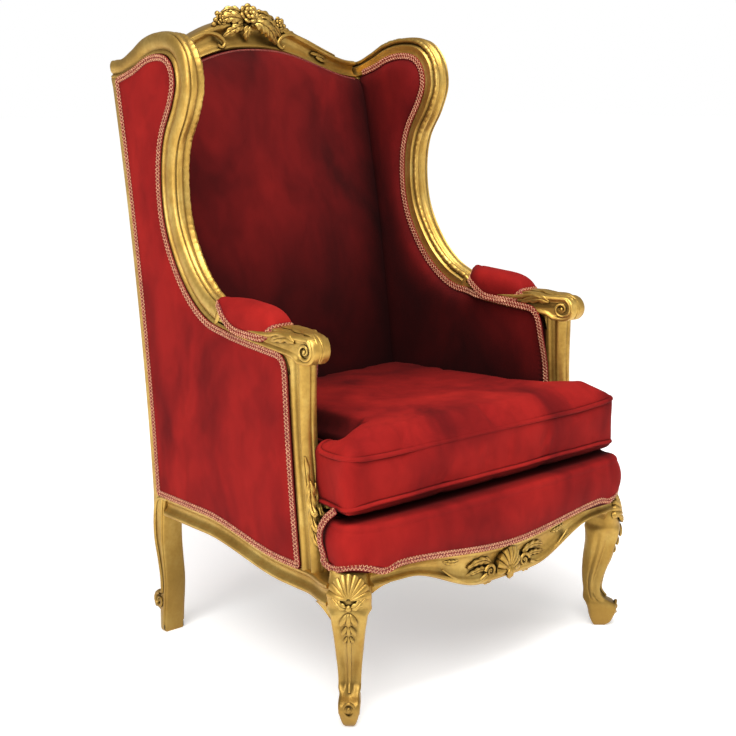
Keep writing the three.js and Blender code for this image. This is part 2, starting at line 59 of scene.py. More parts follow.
SIDE_X = 300            # half width at the top back corner
SIDE_CORNER_Y = 340
SIDE_FLARE = 0.055      # half width gained per millimetre towards the front
SEAT_Z = 262            # top of the seat rails at the back
STILE_DEPTH = 38
STILE_WIDTH = 42
REAR_LEG_TOP_Z = 200
GOLD_STRIP = 21         # bare gilding between the outer cloth and the back edge
WING_WIDTH = 40
ARM_THICK = 60
ARM_OUTSET = 4
UNDER_ARM_LAP = 4       # the inner padding laps this far up over the arm's lower edge
SCROLL = (-207, 588)    # middle of the arm's volute
SCROLL_RADIUS = 27
POST_DEPTH = 38
POST_WIDTH = 38
POST_TOP_Z = 572
RAIL_HEIGHT = 38
RAIL_THICK = 32
LEG_X = 320
LEG_Y = -300
LEG_BLOCK = 30
FRONT_Y = -345
FRONT_BOW = 15
PANEL_STAND = 50        # inner padding, measured inwards from the side plane
INNER_STAND = 30        # inner back padding, forward of the stiles
CREST_EDGE_Z = 1036
CREST_RISE = 75
CREST_LOW_EDGE_Z = 1003
CREST_LOW_RISE = 54
GIMP_WIDTH = 12.5
CREST_GIMP_WIDTH = 8
CLOTH_TURN_IN = 5       # the stretched cloths reach this far in behind their front face
DIAGONAL = math.sqrt(0.5)


def smooth(share):
    """An S-shaped step from 0 to 1."""
    share = np.clip(share, 0, 1)
    return share * share * (3 - 2 * share)


def outer_x(y):
    return SIDE_X + SIDE_FLARE * (SIDE_CORNER_Y - y)


def back_y(z):
    """Back edge of the stiles, which lean away more towards the top."""
    rise = np.maximum(z - REAR_LEG_TOP_Z, 0)
    return 247 + 0.055 * rise + 0.0000935 * rise * rise


def stile_front_y(z):
    return back_y(z) - STILE_DEPTH


def post_back_y(z):
    drop = POST_TOP_Z - z
    return -163 - 0.04 * drop - 0.00015 * drop * drop


def rail_top_z(y):
    return SEAT_Z - 27 * smooth((80 - y) / 230)


def front_top_z(x):
    return 240 + 19 * smooth(np.abs(x) / 250)


def front_bottom_z(x):
    return 232 - 50 * (1 - smooth((np.abs(x) - 60) / 170))


def front_y(x):
    return FRONT_Y + FRONT_BOW * (x / LEG_X) ** 2


def crest_share(x):
    return 1 - smooth(np.abs(x) / (SIDE_X - STILE_WIDTH)) ** 1.3


def crest_top_z(x):
    return CREST_EDGE_Z + CREST_RISE * crest_share(x)


def crest_bottom_z(x):
    return CREST_LOW_EDGE_Z + CREST_LOW_RISE * crest_share(x)


def node_box(node):
    """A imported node's box in millimetres, in the joiner's frame."""
    low, high = (np.array(corner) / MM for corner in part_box(node))
    return low - (0, SHIFT_Y, 0), high - (0, SHIFT_Y, 0)


STILE_TOP_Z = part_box("back_post_left")[1][2] / MM
SHIFT_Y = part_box("back_post_left")[1][1] / MM - back_y(STILE_TOP_Z)


def arrays(*values):
    return np.broadcast_arrays(*(np.asarray(value, float) for value in values))


def on_side(side, y, z, depth):
    """Points on a side of the chair, or depth inwards from it."""
    y, z, depth = arrays(y, z, depth)
    return np.stack([side * (outer_x(y) - depth), y, z], axis=-1)


# ---------------------------------------------------------------- lines and outlines

def unit(vectors):
    vectors = np.asarray(vectors, float)
    return vectors / np.maximum(np.linalg.norm(vectors, axis=-1, keepdims=True), 1e-9)


def spline(keys, per=14):
    """A smooth line through the key points, with per steps between each two."""
    keys = np.asarray(keys, float)
    keys = np.vstack([2 * keys[0] - keys[1], keys, 2 * keys[-1] - keys[-2]])
    line = []
    for a, b, c, d in zip(keys, keys[1:], keys[2:], keys[3:]):
        t = np.cumsum([0] + [math.sqrt(np.linalg.norm(q - p)) for p, q in ((a, b), (b, c), (c, d))])
        for here in np.linspace(t[1], t[2], per, endpoint=False):
            def mix(p, q, i, j):
                return ((t[j] - here) * p + (here - t[i]) * q) / (t[j] - t[i])
            ab, bc, cd = mix(a, b, 0, 1), mix(b, c, 1, 2), mix(c, d, 2, 3)
            line.append(mix(mix(ab, bc, 0, 2), mix(bc, cd, 1, 3), 1, 2))
    return np.array(line + [keys[-2]])


def run_of(line):
    """Distance along a line at each of its points."""
    return np.concatenate([[0], np.cumsum(np.linalg.norm(np.diff(line, axis=0), axis=1))])


def even(line, step, closed=False):
    """The same line with equal steps."""
    line = np.asarray(line, float)
    if closed:
        line = np.vstack([line, line[:1]])
    run = run_of(line)
    count = max(int(round(run[-1] / step)), 2)
    at = np.linspace(0, run[-1], count + 1)[: count if closed else None]
    return np.stack([np.interp(at, run, column) for column in line.T], axis=1)


def softened(line, rounds, closed=False):
    """Rounds the corners of an evenly stepped line."""
    line = line.copy()
    for _ in range(rounds):
        middle = (np.roll(line, 1, 0) + 2 * line + np.roll(line, -1, 0)) / 4
        if not closed:
            middle[0], middle[-1] = line[0], line[-1]
        line = middle
    return line


def arc(centre, radius, start, end, count):
    turn = np.radians(np.linspace(start, end, count + 1))
    return np.stack([centre[0] + radius * np.cos(turn), centre[1] + radius * np.sin(turn)], axis=1)


def tangents(line, closed=False):
    if closed:
        return unit(np.roll(line, -1, 0) - np.roll(line, 1, 0))
    return unit(np.gradient(line, axis=0))


def left_of(line, closed=False):
    ahead = tangents(line, closed)
    return np.stack([-ahead[:, 1], ahead[:, 0]], axis=1)


def inset(outline, distance):
    """A closed outline moved inwards."""
    a, b = outline.T
    turn = np.sign(np.sum(a * np.roll(b, -1) - b * np.roll(a, -1)))
    return outline + turn * distance * left_of(outline, closed=True)


# ---------------------------------------------------------------- the carver's bench

class Work:
    """The closed surfaces of one piece while it is made."""

    def __init__(self):
        self.points, self.faces, self.marks = [], [], []

    def skin(self, rings, loop=False, mark=0, slit=False):
        """Closed rings of points joined in a row, with ends unless they loop.

        The ends are single faces, or strips across the ring where it is a flat slit.
        """
        rings = np.asarray(rings, float)
        rows, across = rings.shape[:2]
        start = len(self.points)
        self.points.extend(map(tuple, rings.reshape(-1, 3)))
        before = len(self.faces)
        for i in range(rows if loop else rows - 1):
            low, high = start + i * across, start + (i + 1) % rows * across
            self.faces += [(low + j, low + (j + 1) % across, high + (j + 1) % across, high + j)
                           for j in range(across)]
        last = start + (rows - 1) * across
        if slit:
            for first in (start, last):
                self.faces += [(first + j, first + j + 1, first + across - 2 - j, first + across - 1 - j)
                               for j in range(across // 2 - 1)]
        elif not loop:
            self.faces.append(tuple(range(start + across - 1, start - 1, -1)))
            self.faces.append(tuple(range(last, last + across)))
        self.marks += [mark] * (len(self.faces) - before)

    def plate(self, outline, levels, place):
        """An outline raised through levels of (inset, depth)."""
        self.skin([place(*inset(outline, distance).T, depth) for distance, depth in levels])

    def pad(self, front, back):
        """A grid of points over another one, closed round its rim."""
        self.skin(np.concatenate([front, back[:, ::-1]], axis=1), slit=True)

    def tube(self, line, radius, sides=8, loop=False, mark=0, up=None):
        """A round rod along a line; radius is one number or one for each point."""
        line = np.asarray(line, float)
        radius = np.broadcast_to(np.asarray(radius, float), len(line))[:, None, None]
        ahead = tangents(line, loop)
        if up is None:
            up = np.empty_like(line)
            lean = unit(np.cross(ahead[0], (0.31, 0.52, 0.79)))
            for i, direction in enumerate(ahead):
                lean = unit(lean - direction * np.dot(lean, direction))
                up[i] = lean
        else:
            up = unit(up - ahead * np.sum(up * ahead, axis=1, keepdims=True))
        across = np.cross(ahead, up)
        turn = np.linspace(0, 2 * math.pi, sides, endpoint=False)[None, :, None]
        around = np.cos(turn) * across[:, None] + np.sin(turn) * up[:, None]
        self.skin(line[:, None] + radius * around, loop, mark)

    def ball(self, centre, axes, sizes, rows=8, across=12):
        """A rounded lump with its own axes and half sizes."""
        axes, sizes = unit(axes), np.asarray(sizes, float)
        rings = []
        for tilt in np.linspace(0.09, math.pi - 0.09, rows):
            turn = np.linspace(0, 2 * math.pi, across, endpoint=False)
            ring = np.stack([np.sin(tilt) * np.cos(turn), np.sin(tilt) * np.sin(turn),
                             np.full(across, np.cos(tilt))], axis=1)
            rings.append(np.asarray(centre) + (ring * sizes) @ axes)
        self.skin(rings)

    def leaf(self, keys, out, width, rise, lobes=4, rows=44):
        """A lobed leaf along a curve, cut into fingers, with a vein down its middle."""
        sink = 2.5
        line = spline(keys, 12)
        line = even(line, run_of(line)[-1] / rows)
        out = np.asarray(out, float)
        if out.ndim == 2:
            share = np.linspace(0, len(out) - 1, len(line))
            out = np.stack([np.interp(share, range(len(out)), c) for c in out.T], axis=1)
        else:
            out = np.broadcast_to(out, line.shape)
        ahead = tangents(line)
        across = unit(np.cross(ahead, out))
        normal = np.cross(across, ahead)
        u = np.linspace(0, 1, len(line))[:, None]
        v = np.linspace(-1, 1, 15)[None, :]
        spread = np.sin(math.pi * (0.04 + 0.94 * u) ** 0.8) ** 0.6
        finger = 0.5 + 0.5 * np.cos(2 * math.pi * lobes * (u - 0.2 * np.abs(v)))
        reach = width / 2 * spread * (0.74 + 0.26 * finger) * v
        body = np.sqrt(1 - 0.92 * v * v) * 0.62 + 0.5 * finger * np.abs(v) * (1.25 - np.abs(v))
        vein = 0.2 * np.exp(-(v / 0.1) ** 2)
        height = rise * spread * (body - vein)
        line, across, normal, reach = line[:, None], across[:, None], normal[:, None], reach[..., None]
        front = line + across * reach + normal * height[..., None]
        back = line + across * 0.97 * reach - normal * sink
        self.pad(front, back)

    def shell(self, hinge, out, up, width, height, rise, spread=104, bend=0):
        """A scallop: ribs that fan out from a hinge to a scalloped edge.

        It fans out by spread degrees to each side, and its sides fall back by bend.
        """
        ribs, sink = 9, 4.0
        out = unit(out)
        up = unit(np.asarray(up) - out * np.dot(up, out))
        across = np.cross(up, out)
        turn = np.radians(np.linspace(-spread, spread, ribs * 8 + 1))[None, :]
        rib = np.abs(np.sin(np.linspace(0, ribs * math.pi, ribs * 8 + 1)))[None, :] ** 0.7
        share = np.array([0.1, 0.2, 0.32, 0.45, 0.58, 0.7, 0.8, 0.88, 0.94, 0.98, 1.0])[:, None]
        reach = share * (0.92 + 0.08 * rib)
        side = reach * np.sin(turn) * width / 2
        lift = rise * (np.sin(math.pi * (0.12 + 0.8 * share)) ** 0.7 + 0.42 * (rib - 0.6) * share)
        fall = bend * (side / width * 2) ** 2
        lift = lift - fall
        rise_up = reach * np.cos(turn) * height
        flat = np.asarray(hinge) + across * side[..., None] + up * rise_up[..., None]
        under = flat - out * (sink + fall)[..., None]
        self.pad(flat + out * lift[..., None], under)

    def bracket(self, curve, corner, depths, place):
        """A corner filled in under a concave curve.

        Each point of the curve has its own two depths, for the near and the far face.
        """
        rings = []
        for point, (near, far) in zip(curve, depths):
            inward = unit(corner - point)
            deep = point + inward * 18
            soft = point + inward * 2.2
            ring = [(point, near + 2.4), (soft, near), (deep, near + 0.6), (deep, far), (soft, far),
                    (point, far - 2.4)]
            rings.append([place(*spot, depth) for spot, depth in ring])
        self.skin(rings)

    def volute(self, centre, radius, place, turns=1.75, start=90, way=1, bead=3.0, lift=0.0):
        """A raised spiral bead on a flat side, with a round eye."""
        share = np.linspace(0, 1, int(turns * 30))
        angle = math.radians(start) + way * 2 * math.pi * turns * share
        reach = radius * (1 - 0.82 * share ** 0.8)
        line = place(centre[0] + reach * np.cos(angle), centre[1] + reach * np.sin(angle), lift)
        self.tube(line, bead * (1 - 0.45 * share))
        self.ball(place(*centre, lift), np.eye(3), (radius * 0.2,) * 3, 6, 10)

    def rosette(self, centre, out, up, radius, petals=6):
        """A flower of two rings of petals round a beaded eye."""
        out = unit(out)
        up = unit(np.asarray(up) - out * np.dot(up, out))
        across = np.cross(up, out)
        for count, reach, size, lift, turned in ((petals, 0.66, 0.42, 0.1, 0.0),
                                                 (petals - 1, 0.36, 0.32, 0.34, 0.5)):
            for i in range(count):
                turn = 2 * math.pi * (i + turned) / count
                away = across * math.sin(turn) + up * math.cos(turn)
                side = np.cross(away, out)
                tip = unit(away * 0.9 + out * 0.45)
                self.ball(np.asarray(centre) + away * radius * reach + out * radius * lift,
                          [side, tip, np.cross(side, tip)],
                          (radius * size, radius * size * 1.05, radius * 0.2))
        self.ball(np.asarray(centre) + out * radius * 0.5, np.eye(3), (radius * 0.2,) * 3)

    def braid(self, line, out, closed=False, width=GIMP_WIDTH):
        """Scroll gimp: a flat woven band with a wavy cord sewn along each half of it."""
        pitch, per = width * 0.5, 6
        flow = np.concatenate([line, out], axis=1)
        if closed:
            flow = np.vstack([flow, flow[:1]])
        run = run_of(flow[:, :3])
        loops = max(round(run[-1] / pitch), 2)
        at = np.linspace(0, run[-1], loops * per + 1)[: loops * per if closed else None]
        flow = np.stack([np.interp(at, run, column) for column in flow.T], axis=1)
        line, out = flow[:, :3], unit(flow[:, 3:])
        across = unit(np.cross(tangents(line, closed), out))
        half = width * 0.47
        band = [(-half, -1.5), (-half, 0.3), (half, 0.3), (half, -1.5)]
        rings = np.stack([line + across * a + out * h for a, h in band], axis=1)
        self.skin(rings[::2], closed)
        wave = 2 * math.pi * np.arange(len(line)) / per
        for row in (-1, 1):
            sway = row * width * (0.24 + 0.17 * np.sin(wave))
            self.tube(line + across * sway[:, None] + out * 0.8, width * 0.058, 4, closed, 1, up=out)

    def made(self, name, looks, slot, nodes=(), angle=42):
        """Sets the piece in the frame, in metres, with its finish."""
        mesh = bpy.data.meshes.new(name)
        points = (np.array(self.points) + (0, SHIFT_Y, 0)) * MM
        mesh.from_pydata(points.tolist(), [], self.faces)
        mesh.polygons.foreach_set("material_index", self.marks)
        obj = bpy.data.objects.new(name, mesh)
        scene.collection.objects.link(obj)
        cleaned = bmesh.new()
        cleaned.from_mesh(mesh)
        bmesh.ops.remove_doubles(cleaned, verts=cleaned.verts, dist=1e-6)
        bmesh.ops.recalc_face_normals(cleaned, faces=cleaned.faces)
        cleaned.to_mesh(mesh)
        cleaned.free()
        return settled(obj, looks, nodes, angle)


def pick(obj):
    bpy.ops.object.select_all(action="DESELECT")
    obj.select_set(True)
    bpy.context.view_layer.objects.active = obj


def settled(obj, looks, nodes=(), angle=42):
    """Finish, smoothing and place in the model for a piece that is shaped."""
    for look in looks:
        obj.data.materials.append(look)
    pick(obj)
    bpy.ops.object.shade_smooth_by_angle(angle=math.radians(angle))
    obj.select_set(False)
    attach(obj, "root")
    if nodes:
        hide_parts(*nodes)
    return obj


# ---------------------------------------------------------------- finishes

def linear(code):
    """An sRGB hex colour as linear values."""
    parts = [int(code[i:i + 2], 16) / 255 for i in (1, 3, 5)]
    return (*[v / 12.92 if v <= 0.04045 else ((v + 0.055) / 1.055) ** 2.4 for v in parts], 1)


def node(tree, kind, settings, stops=()):
    """Adds a node. Each setting is an option of the node, or a socket's value or source."""
    made = tree.nodes.new("ShaderNode" + kind)
    for name, value in settings.items():
        if isinstance(name, str) and hasattr(made, name):
            setattr(made, name, value)
        elif isinstance(value, bpy.types.NodeSocket):
            tree.links.new(value, made.inputs[name])
        else:
            made.inputs[name].default_value = value
    if stops:
        elements = made.color_ramp.elements
        while len(elements) < len(stops):
            elements.new(0.5)
        for element, (place, code) in zip(elements, stops):
            element.position = place
            element.color = linear(code)
    return made


# a Mix node's sockets for colours: three that go in and one that comes out
FACTOR, FIRST, SECOND, MIXED = 0, 6, 7, 2
BLEND = {"data_type": "RGBA"}
MULTIPLY = {**BLEND, "blend_type": "MULTIPLY"}


def blank(name):
    """A new material with its node tree, its shader and the piece's own coordinates."""
    look = bpy.data.materials.new(name)
    look.use_nodes = True
    tree = look.node_tree
    here = node(tree, "TexCoord", {}).outputs["Object"]
    return look, tree, tree.nodes["Principled BSDF"], here


def gilded_beech():
    """Bronze-gold leaf on carved beech: warm metal, brighter where it is rubbed, darker towards the top;
    olive-brown painted shade, over the glaze there, in the hollows and down the legs towards the floor."""
    look, tree, shader, here = blank("gilded_beech")
    # sizes of the marks: cloudy wear, the leaf's own fleck, and the carver's tool marks
    patch = node(tree, "TexNoise", {"Scale": 1 / (70 * MM), "Detail": 4, "Roughness": 0.6,
                                    "Vector": here}).outputs[0]
    fleck = node(tree, "TexNoise", {"Scale": 1 / (6 * MM), "Detail": 3, "Vector": here}).outputs[0]
    worked = node(tree, "TexNoise", {"Scale": 1 / (14 * MM), "Detail": 2, "Vector": here}).outputs[0]
    leaf = node(tree, "ValToRGB", {"Fac": patch}, [(0.3, "#ad873e"), (0.5, "#c8a04e"), (0.7, "#ddbc69")])
    grain = node(tree, "ValToRGB", {"Fac": fleck}, [(0.3, "#a98750"), (0.6, "#ffffff")])
    leaf = node(tree, "Mix", {**MULTIPLY, FACTOR: 0.22, FIRST: leaf.outputs[0], SECOND: grain.outputs[0]})
    height = node(tree, "SeparateXYZ", {"Vector": here}).outputs["Z"]
    # the gilding turns darker olive-brown towards the top of the chair
    darker_at_top = node(tree, "MapRange", {"From Min": 0.99, "From Max": 1.07, "To Max": 0.3, "Value": height})
    leaf = node(tree, "Mix", {**BLEND, FACTOR: darker_at_top.outputs[0], FIRST: leaf.outputs[MIXED],
                              SECOND: linear("#8a6f3c")})
    # painted shade: the gilding darkens down the legs towards the floor
    floor_shade = node(tree, "MapRange", {"From Min": 0.3, "From Max": 0.1, "To Max": 0.75, "Value": height})
    leaf = node(tree, "Mix", {**BLEND, FACTOR: floor_shade.outputs[0], FIRST: leaf.outputs[MIXED],
                              SECOND: linear("#87682f")})
    # painted shade: olive-brown laid into the carving's hollows where shade falls, over the glaze that
    # settles there
    hollow = node(tree, "AmbientOcclusion", {"samples": 8, "only_local": True, "Distance": 13 * MM})
    painted_hollow_shade = node(tree, "ValToRGB", {"Fac": hollow.outputs["AO"]}, [(0.42, "#000000"), (0.86, "#ffffff")])
    leaf = node(tree, "Mix", {**BLEND, FACTOR: painted_hollow_shade.outputs[0], FIRST: linear("#4d3a18"),
                              SECOND: leaf.outputs[MIXED]})
    tree.links.new(leaf.outputs[MIXED], shader.inputs["Base Color"])
    rough = node(tree, "MapRange", {"To Min": 0.5, "To Max": 0.36, "Value": patch})
    tree.links.new(rough.outputs[0], shader.inputs["Roughness"])
    shader.inputs["Metallic"].default_value = 0.85
    low = node(tree, "Bump", {"Strength": 0.3, "Distance": 0.7 * MM, "Height": worked})
    fine = node(tree, "Bump", {"Strength": 0.12, "Distance": 0.3 * MM, "Height": fleck,
                               "Normal": low.outputs[0]})
    tree.links.new(fine.outputs[0], shader.inputs["Normal"])
    return look


def crimson_velvet(name, tones):
    """Short cotton-pile velvet: deep crimson, with wide soft patches where the nap has
    been brushed up or down, a red bloom at grazing angles and a fine pile grain. Painted
    shade darkens it in corners and deep inside the chair."""
    look, tree, shader, here = blank(name)
    drop = node(tree, "Mapping", {"Scale": (1, 1, 0.6), "Vector": here}).outputs[0]
    brushed = node(tree, "TexNoise", {"Scale": 1 / (160 * MM), "Detail": 3, "Distortion": 0.8,
                                      "Vector": drop}).outputs[0]
    stroke = node(tree, "TexNoise", {"Scale": 1 / (35 * MM), "Detail": 3, "Distortion": 0.5,
                                     "Vector": drop}).outputs[0]
    nap = node(tree, "ValToRGB", {"Fac": brushed}, list(zip((0.3, 0.5, 0.72), tones)))
    small = node(tree, "ValToRGB", {"Fac": stroke}, [(0.3, "#c4b0ae"), (0.6, "#ffffff")])
    nap = node(tree, "Mix", {**MULTIPLY, FACTOR: 0.4, FIRST: nap.outputs[0], SECOND: small.outputs[0]})
    # painted shade: the velvet is darkened in corners and deep inside the chair, where shade falls
    corner_shade_ao = node(tree, "AmbientOcclusion", {"samples": 12, "Distance": 450 * MM})
    depth = node(tree, "ValToRGB", {"Fac": corner_shade_ao.outputs["AO"]},
                 [(0.2, "#574949"), (0.5, "#948686"), (0.82, "#ffffff")])
    nap = node(tree, "Mix", {**MULTIPLY, FACTOR: 1.0, FIRST: nap.outputs[MIXED], SECOND: depth.outputs[0]})
    tree.links.new(nap.outputs[MIXED], shader.inputs["Base Color"])
    shader.inputs["Roughness"].default_value = 0.85
    shader.inputs["Specular IOR Level"].default_value = 0.12
    shader.inputs["Sheen Weight"].default_value = 0.14
    shader.inputs["Sheen Roughness"].default_value = 0.3
    shader.inputs["Sheen Tint"].default_value = linear("#e0403a")
    # real pile is finer: this grain is as coarse as it needs to show
    pile = node(tree, "TexNoise", {"Scale": 1 / (1.6 * MM), "Detail": 2, "Vector": here}).outputs[0]
    soft = node(tree, "Bump", {"Strength": 0.4, "Distance": 1.4 * MM, "Height": stroke})
    fine = node(tree, "Bump", {"Strength": 0.3, "Distance": 0.4 * MM, "Height": pile,
                               "Normal": soft.outputs[0]})
    tree.links.new(fine.outputs[0], shader.inputs["Normal"])
    return look


def braid_yarn(name, dark, light):
    """Twisted rayon and cotton yarn: a soft sheen, with light and dark along the twist."""
    look, tree, shader, here = blank(name)
    # real twist is finer: this one is as coarse as it needs to show
    twist = node(tree, "TexNoise", {"Scale": 1 / (3 * MM), "Detail": 2, "Vector": here}).outputs[0]
    tone = node(tree, "ValToRGB", {"Fac": twist}, [(0.38, dark), (0.62, light)])
    tree.links.new(tone.outputs[0], shader.inputs["Base Color"])
    shader.inputs["Roughness"].default_value = 0.6
    ply = node(tree, "Bump", {"Strength": 0.5, "Distance": 0.4 * MM, "Height": twist})
    tree.links.new(ply.outputs[0], shader.inputs["Normal"])
    return look


GOLD = gilded_beech()
VELVET = crimson_velvet("crimson_velvet", ("#620a0b", "#861412", "#9c1c17"))
# darker copies of the velvet for the inside of the chair: painted shade on the inside back and the inner
# sides
SHADED_BACK_VELVET = crimson_velvet("crimson_velvet_painted_shade_back", ("#3a0606", "#5a0c0c", "#741311"))
SHADED_SIDE_VELVET = crimson_velvet("crimson_velvet_painted_shade_sides", ("#4c0808", "#70100f", "#8a1814"))
GIMP = [braid_yarn("gimp_band_crimson", "#6a0f0d", "#8c2019"),
        braid_yarn("gimp_cord_rose_gold", "#a8694a", "#dca47c")]
CREST_GIMP = [GIMP[0], braid_yarn("gimp_cord_dull_rose", "#74281f", "#a05240")]


# ---------------------------------------------------------------- cloth and trim

def covering(name, look, replaced, front, behind):
    """A velvet panel between two grids of points."""
    work = Work()
    work.pad(front, behind)
    return work.made(name, [look], "velvet", [replaced], 60)


def gimp(name, line, out, closed=False, width=GIMP_WIDTH, looks=GIMP):
    """A run of braid along a line, facing out."""
    trim = Work()
    trim.braid(line, np.broadcast_to(out, line.shape), closed, width)
    trim.made(name, looks, "gimp", angle=60)


# ---------------------------------------------------------------- camera, light and floor

CAMERA_PLACE = (-1.7504, -1.8879, 1.0035)
CAMERA_TURN = math.radians(-42.85)
CAMERA_DOWN = math.radians(11.34)
CAMERA_LENS = 70.9


def studio():
    """Soft daylight from the left, a pale floor, and plain white behind."""
    lens = bpy.data.cameras.new("camera")
    lens.lens = CAMERA_LENS
    camera = bpy.data.objects.new("camera", lens)
    camera.location = CAMERA_PLACE
    camera.rotation_euler = (math.pi / 2 - CAMERA_DOWN, 0, CAMERA_TURN)
    scene.collection.objects.link(camera)
    scene.camera = camera
    sun = bpy.data.lights.new("key", "SUN")
    sun.energy = 1.65
    sun.angle = math.radians(30)
    key = bpy.data.objects.new("key", sun)
    key.rotation_euler = Vector((0.6, 0.45, -0.8)).to_track_quat("-Z", "Y").to_euler()
    scene.collection.objects.link(key)
    for name, place, size, power in (("strip_left", (-2.9, -0.6, 1.5), 1.0, 24),
                                     ("fill", (2.2, -2.6, 1.5), 1.6, 12),
                                     ("top", (-0.3, -0.9, 2.8), 1.2, 46)):
        lamp = bpy.data.lights.new(name, "AREA")
        lamp.size = size
        lamp.energy = power
        light = bpy.data.objects.new(name, lamp)
        light.location = place
        light.rotation_euler = (Vector((0, 0, 0.5)) - Vector(place)).to_track_quat("-Z", "Y").to_euler()
        scene.collection.objects.link(light)
    # the room lights softly, and stands as plain white behind the chair
    scene.world = bpy.data.worlds.new("white_room")
    scene.world.use_nodes = True
    tree = scene.world.node_tree
    room = tree.nodes["Background"]
    room.inputs["Color"].default_value = linear("#ffffff")
    room.inputs["Strength"].default_value = 0.32
    backdrop = node(tree, "Background", {"Color": linear("#ffffff"), "Strength": 1.0})
    seen = node(tree, "LightPath", {}).outputs["Is Camera Ray"]
    both = node(tree, "MixShader", {0: seen, 1: room.outputs[0], 2: backdrop.outputs[0]})
    tree.links.new(both.outputs[0], tree.nodes["World Output"].inputs["Surface"])
    bpy.ops.mesh.primitive_plane_add(size=60, location=(0, 0, -0.0005))
    floor = bpy.context.object
    floor.name = "floor"
    paper = bpy.data.materials.new("pale_floor")
    paper.use_nodes = True
    surface = paper.node_tree.nodes["Principled BSDF"]
    surface.inputs["Base Color"].default_value = linear("#f6f5f3")
    surface.inputs["Roughness"].default_value = 0.9
    surface.inputs["Specular IOR Level"].default_value = 0.1
    surface.inputs["Emission Color"].default_value = linear("#ffffff")
    surface.inputs["Emission Strength"].default_value = 0.42
    floor.data.materials.append(paper)
    scene.view_settings.view_transform = "Standard"


# ---------------------------------------------------------------- wing frames

# outer edge of the wing: sharp back corner, rounded ear, waist, sweep into the arm
WING_KEYS = [
    (back_y(1034), 1034), (stile_front_y(1037), 1037), (288, 1051), (250, 1070), (200, 1080),
    (148, 1073), (114, 1042), (102, 990), (118, 940), (146, 890), (155, 838), (146, 762),
    (108, 692), (66, 652), (26, 632)]
wing_edge = even(spline(WING_KEYS), 2.3)
wing_run = run_of(wing_edge)
# the mitre at the top back corner turns the moulding's cross-section upright
mitre = smooth((wing_run - 30) / 64)[:, None]
wing_lean = (1 - mitre) * (0, -0.84) + mitre * left_of(wing_edge)
wing_fabric = wing_edge + WING_WIDTH * wing_lean

# [across, depth] from the cloth: a narrow reed, then a broad swelling band
WING_OUTER_FACE = [
    (40, 8), (39.8, 4.2), (38.4, 1.6), (36, 0.6), (33.4, 1.4), (31.6, 3.6), (30.4, 4.8),
    (29, 4.2), (26.4, 2), (22, 0.5), (16.5, 0), (11, 0.5), (6.6, 1.8), (3.4, 3.8), (2, 5.8)]
# the free edge: a quirk, a round torus, and a deep quirk beside the carved bead
WING_FREE_EDGE = [
    (3.2, 7.4), (4.6, 8.4), (4.4, 9.6), (2.2, 10.8), (0.6, 13), (0, 16), (0.4, 19), (1.6, 21.2),
    (3.8, 22.8), (5.4, 24.2), (6, 25.6), (5, 27)]
# inner face: a quirk beside the bead, a wide hollow, and a fillet at the cloth
WING_INNER_FACE = [
    (10.6, 34.4), (11.8, 33), (13.2, 34.2), (14.4, 37), (16.6, 38.8), (20, 38.4), (24, 37.2),
    (29, 36.8), (33, 37.6), (35.2, 39.4), (37.4, 40), (39.2, 38.6), (39.8, 36), (40, 32)]
BEAD_PITCH = 25


def bead_swell(run):
    """A carved leaf and a pearl in turn along the bead."""
    share = run / BEAD_PITCH % 1
    leaf = np.sin(math.pi * np.clip((share - 0.04) / 0.6, 0, 1)) ** 0.6
    pearl = 0.75 * np.sin(math.pi * np.clip((share - 0.71) / 0.24, 0, 1)) ** 0.5
    return np.maximum(leaf, pearl)


def wing_frame(word, side):
    rings = []
    for (y, z), lean, run in zip(wing_edge, wing_lean, wing_run):
        fade = smooth((run - 90) / 40)
        bead = arc((6.2, 33.4), 4.1 + 0.9 * bead_swell(run) * fade, 205, 15, 9)
        profile = np.vstack([WING_OUTER_FACE, WING_FREE_EDGE, bead, WING_INNER_FACE])
        # the end over the stile is rounded off
        profile[:, 1] = 20 + (profile[:, 1] - 20) * np.interp(run, (0, 2.5, 7), (0.84, 0.95, 1))
        line_z = z + lean[1] * profile[:, 0]
        line_y = np.minimum(y + lean[0] * profile[:, 0], back_y(line_z) - 0.2)
        rings.append(on_side(side, line_y, line_z, profile[:, 1]))
    work = Work()
    work.skin(rings)
    work.made(f"carved_wing_{word}", [GOLD], "gilt_wood", [f"wing_frame_{word}"])


# ---------------------------------------------------------------- back posts

REAR_SCROLL = (236, 58)
REAR_SCROLL_RADIUS = 19


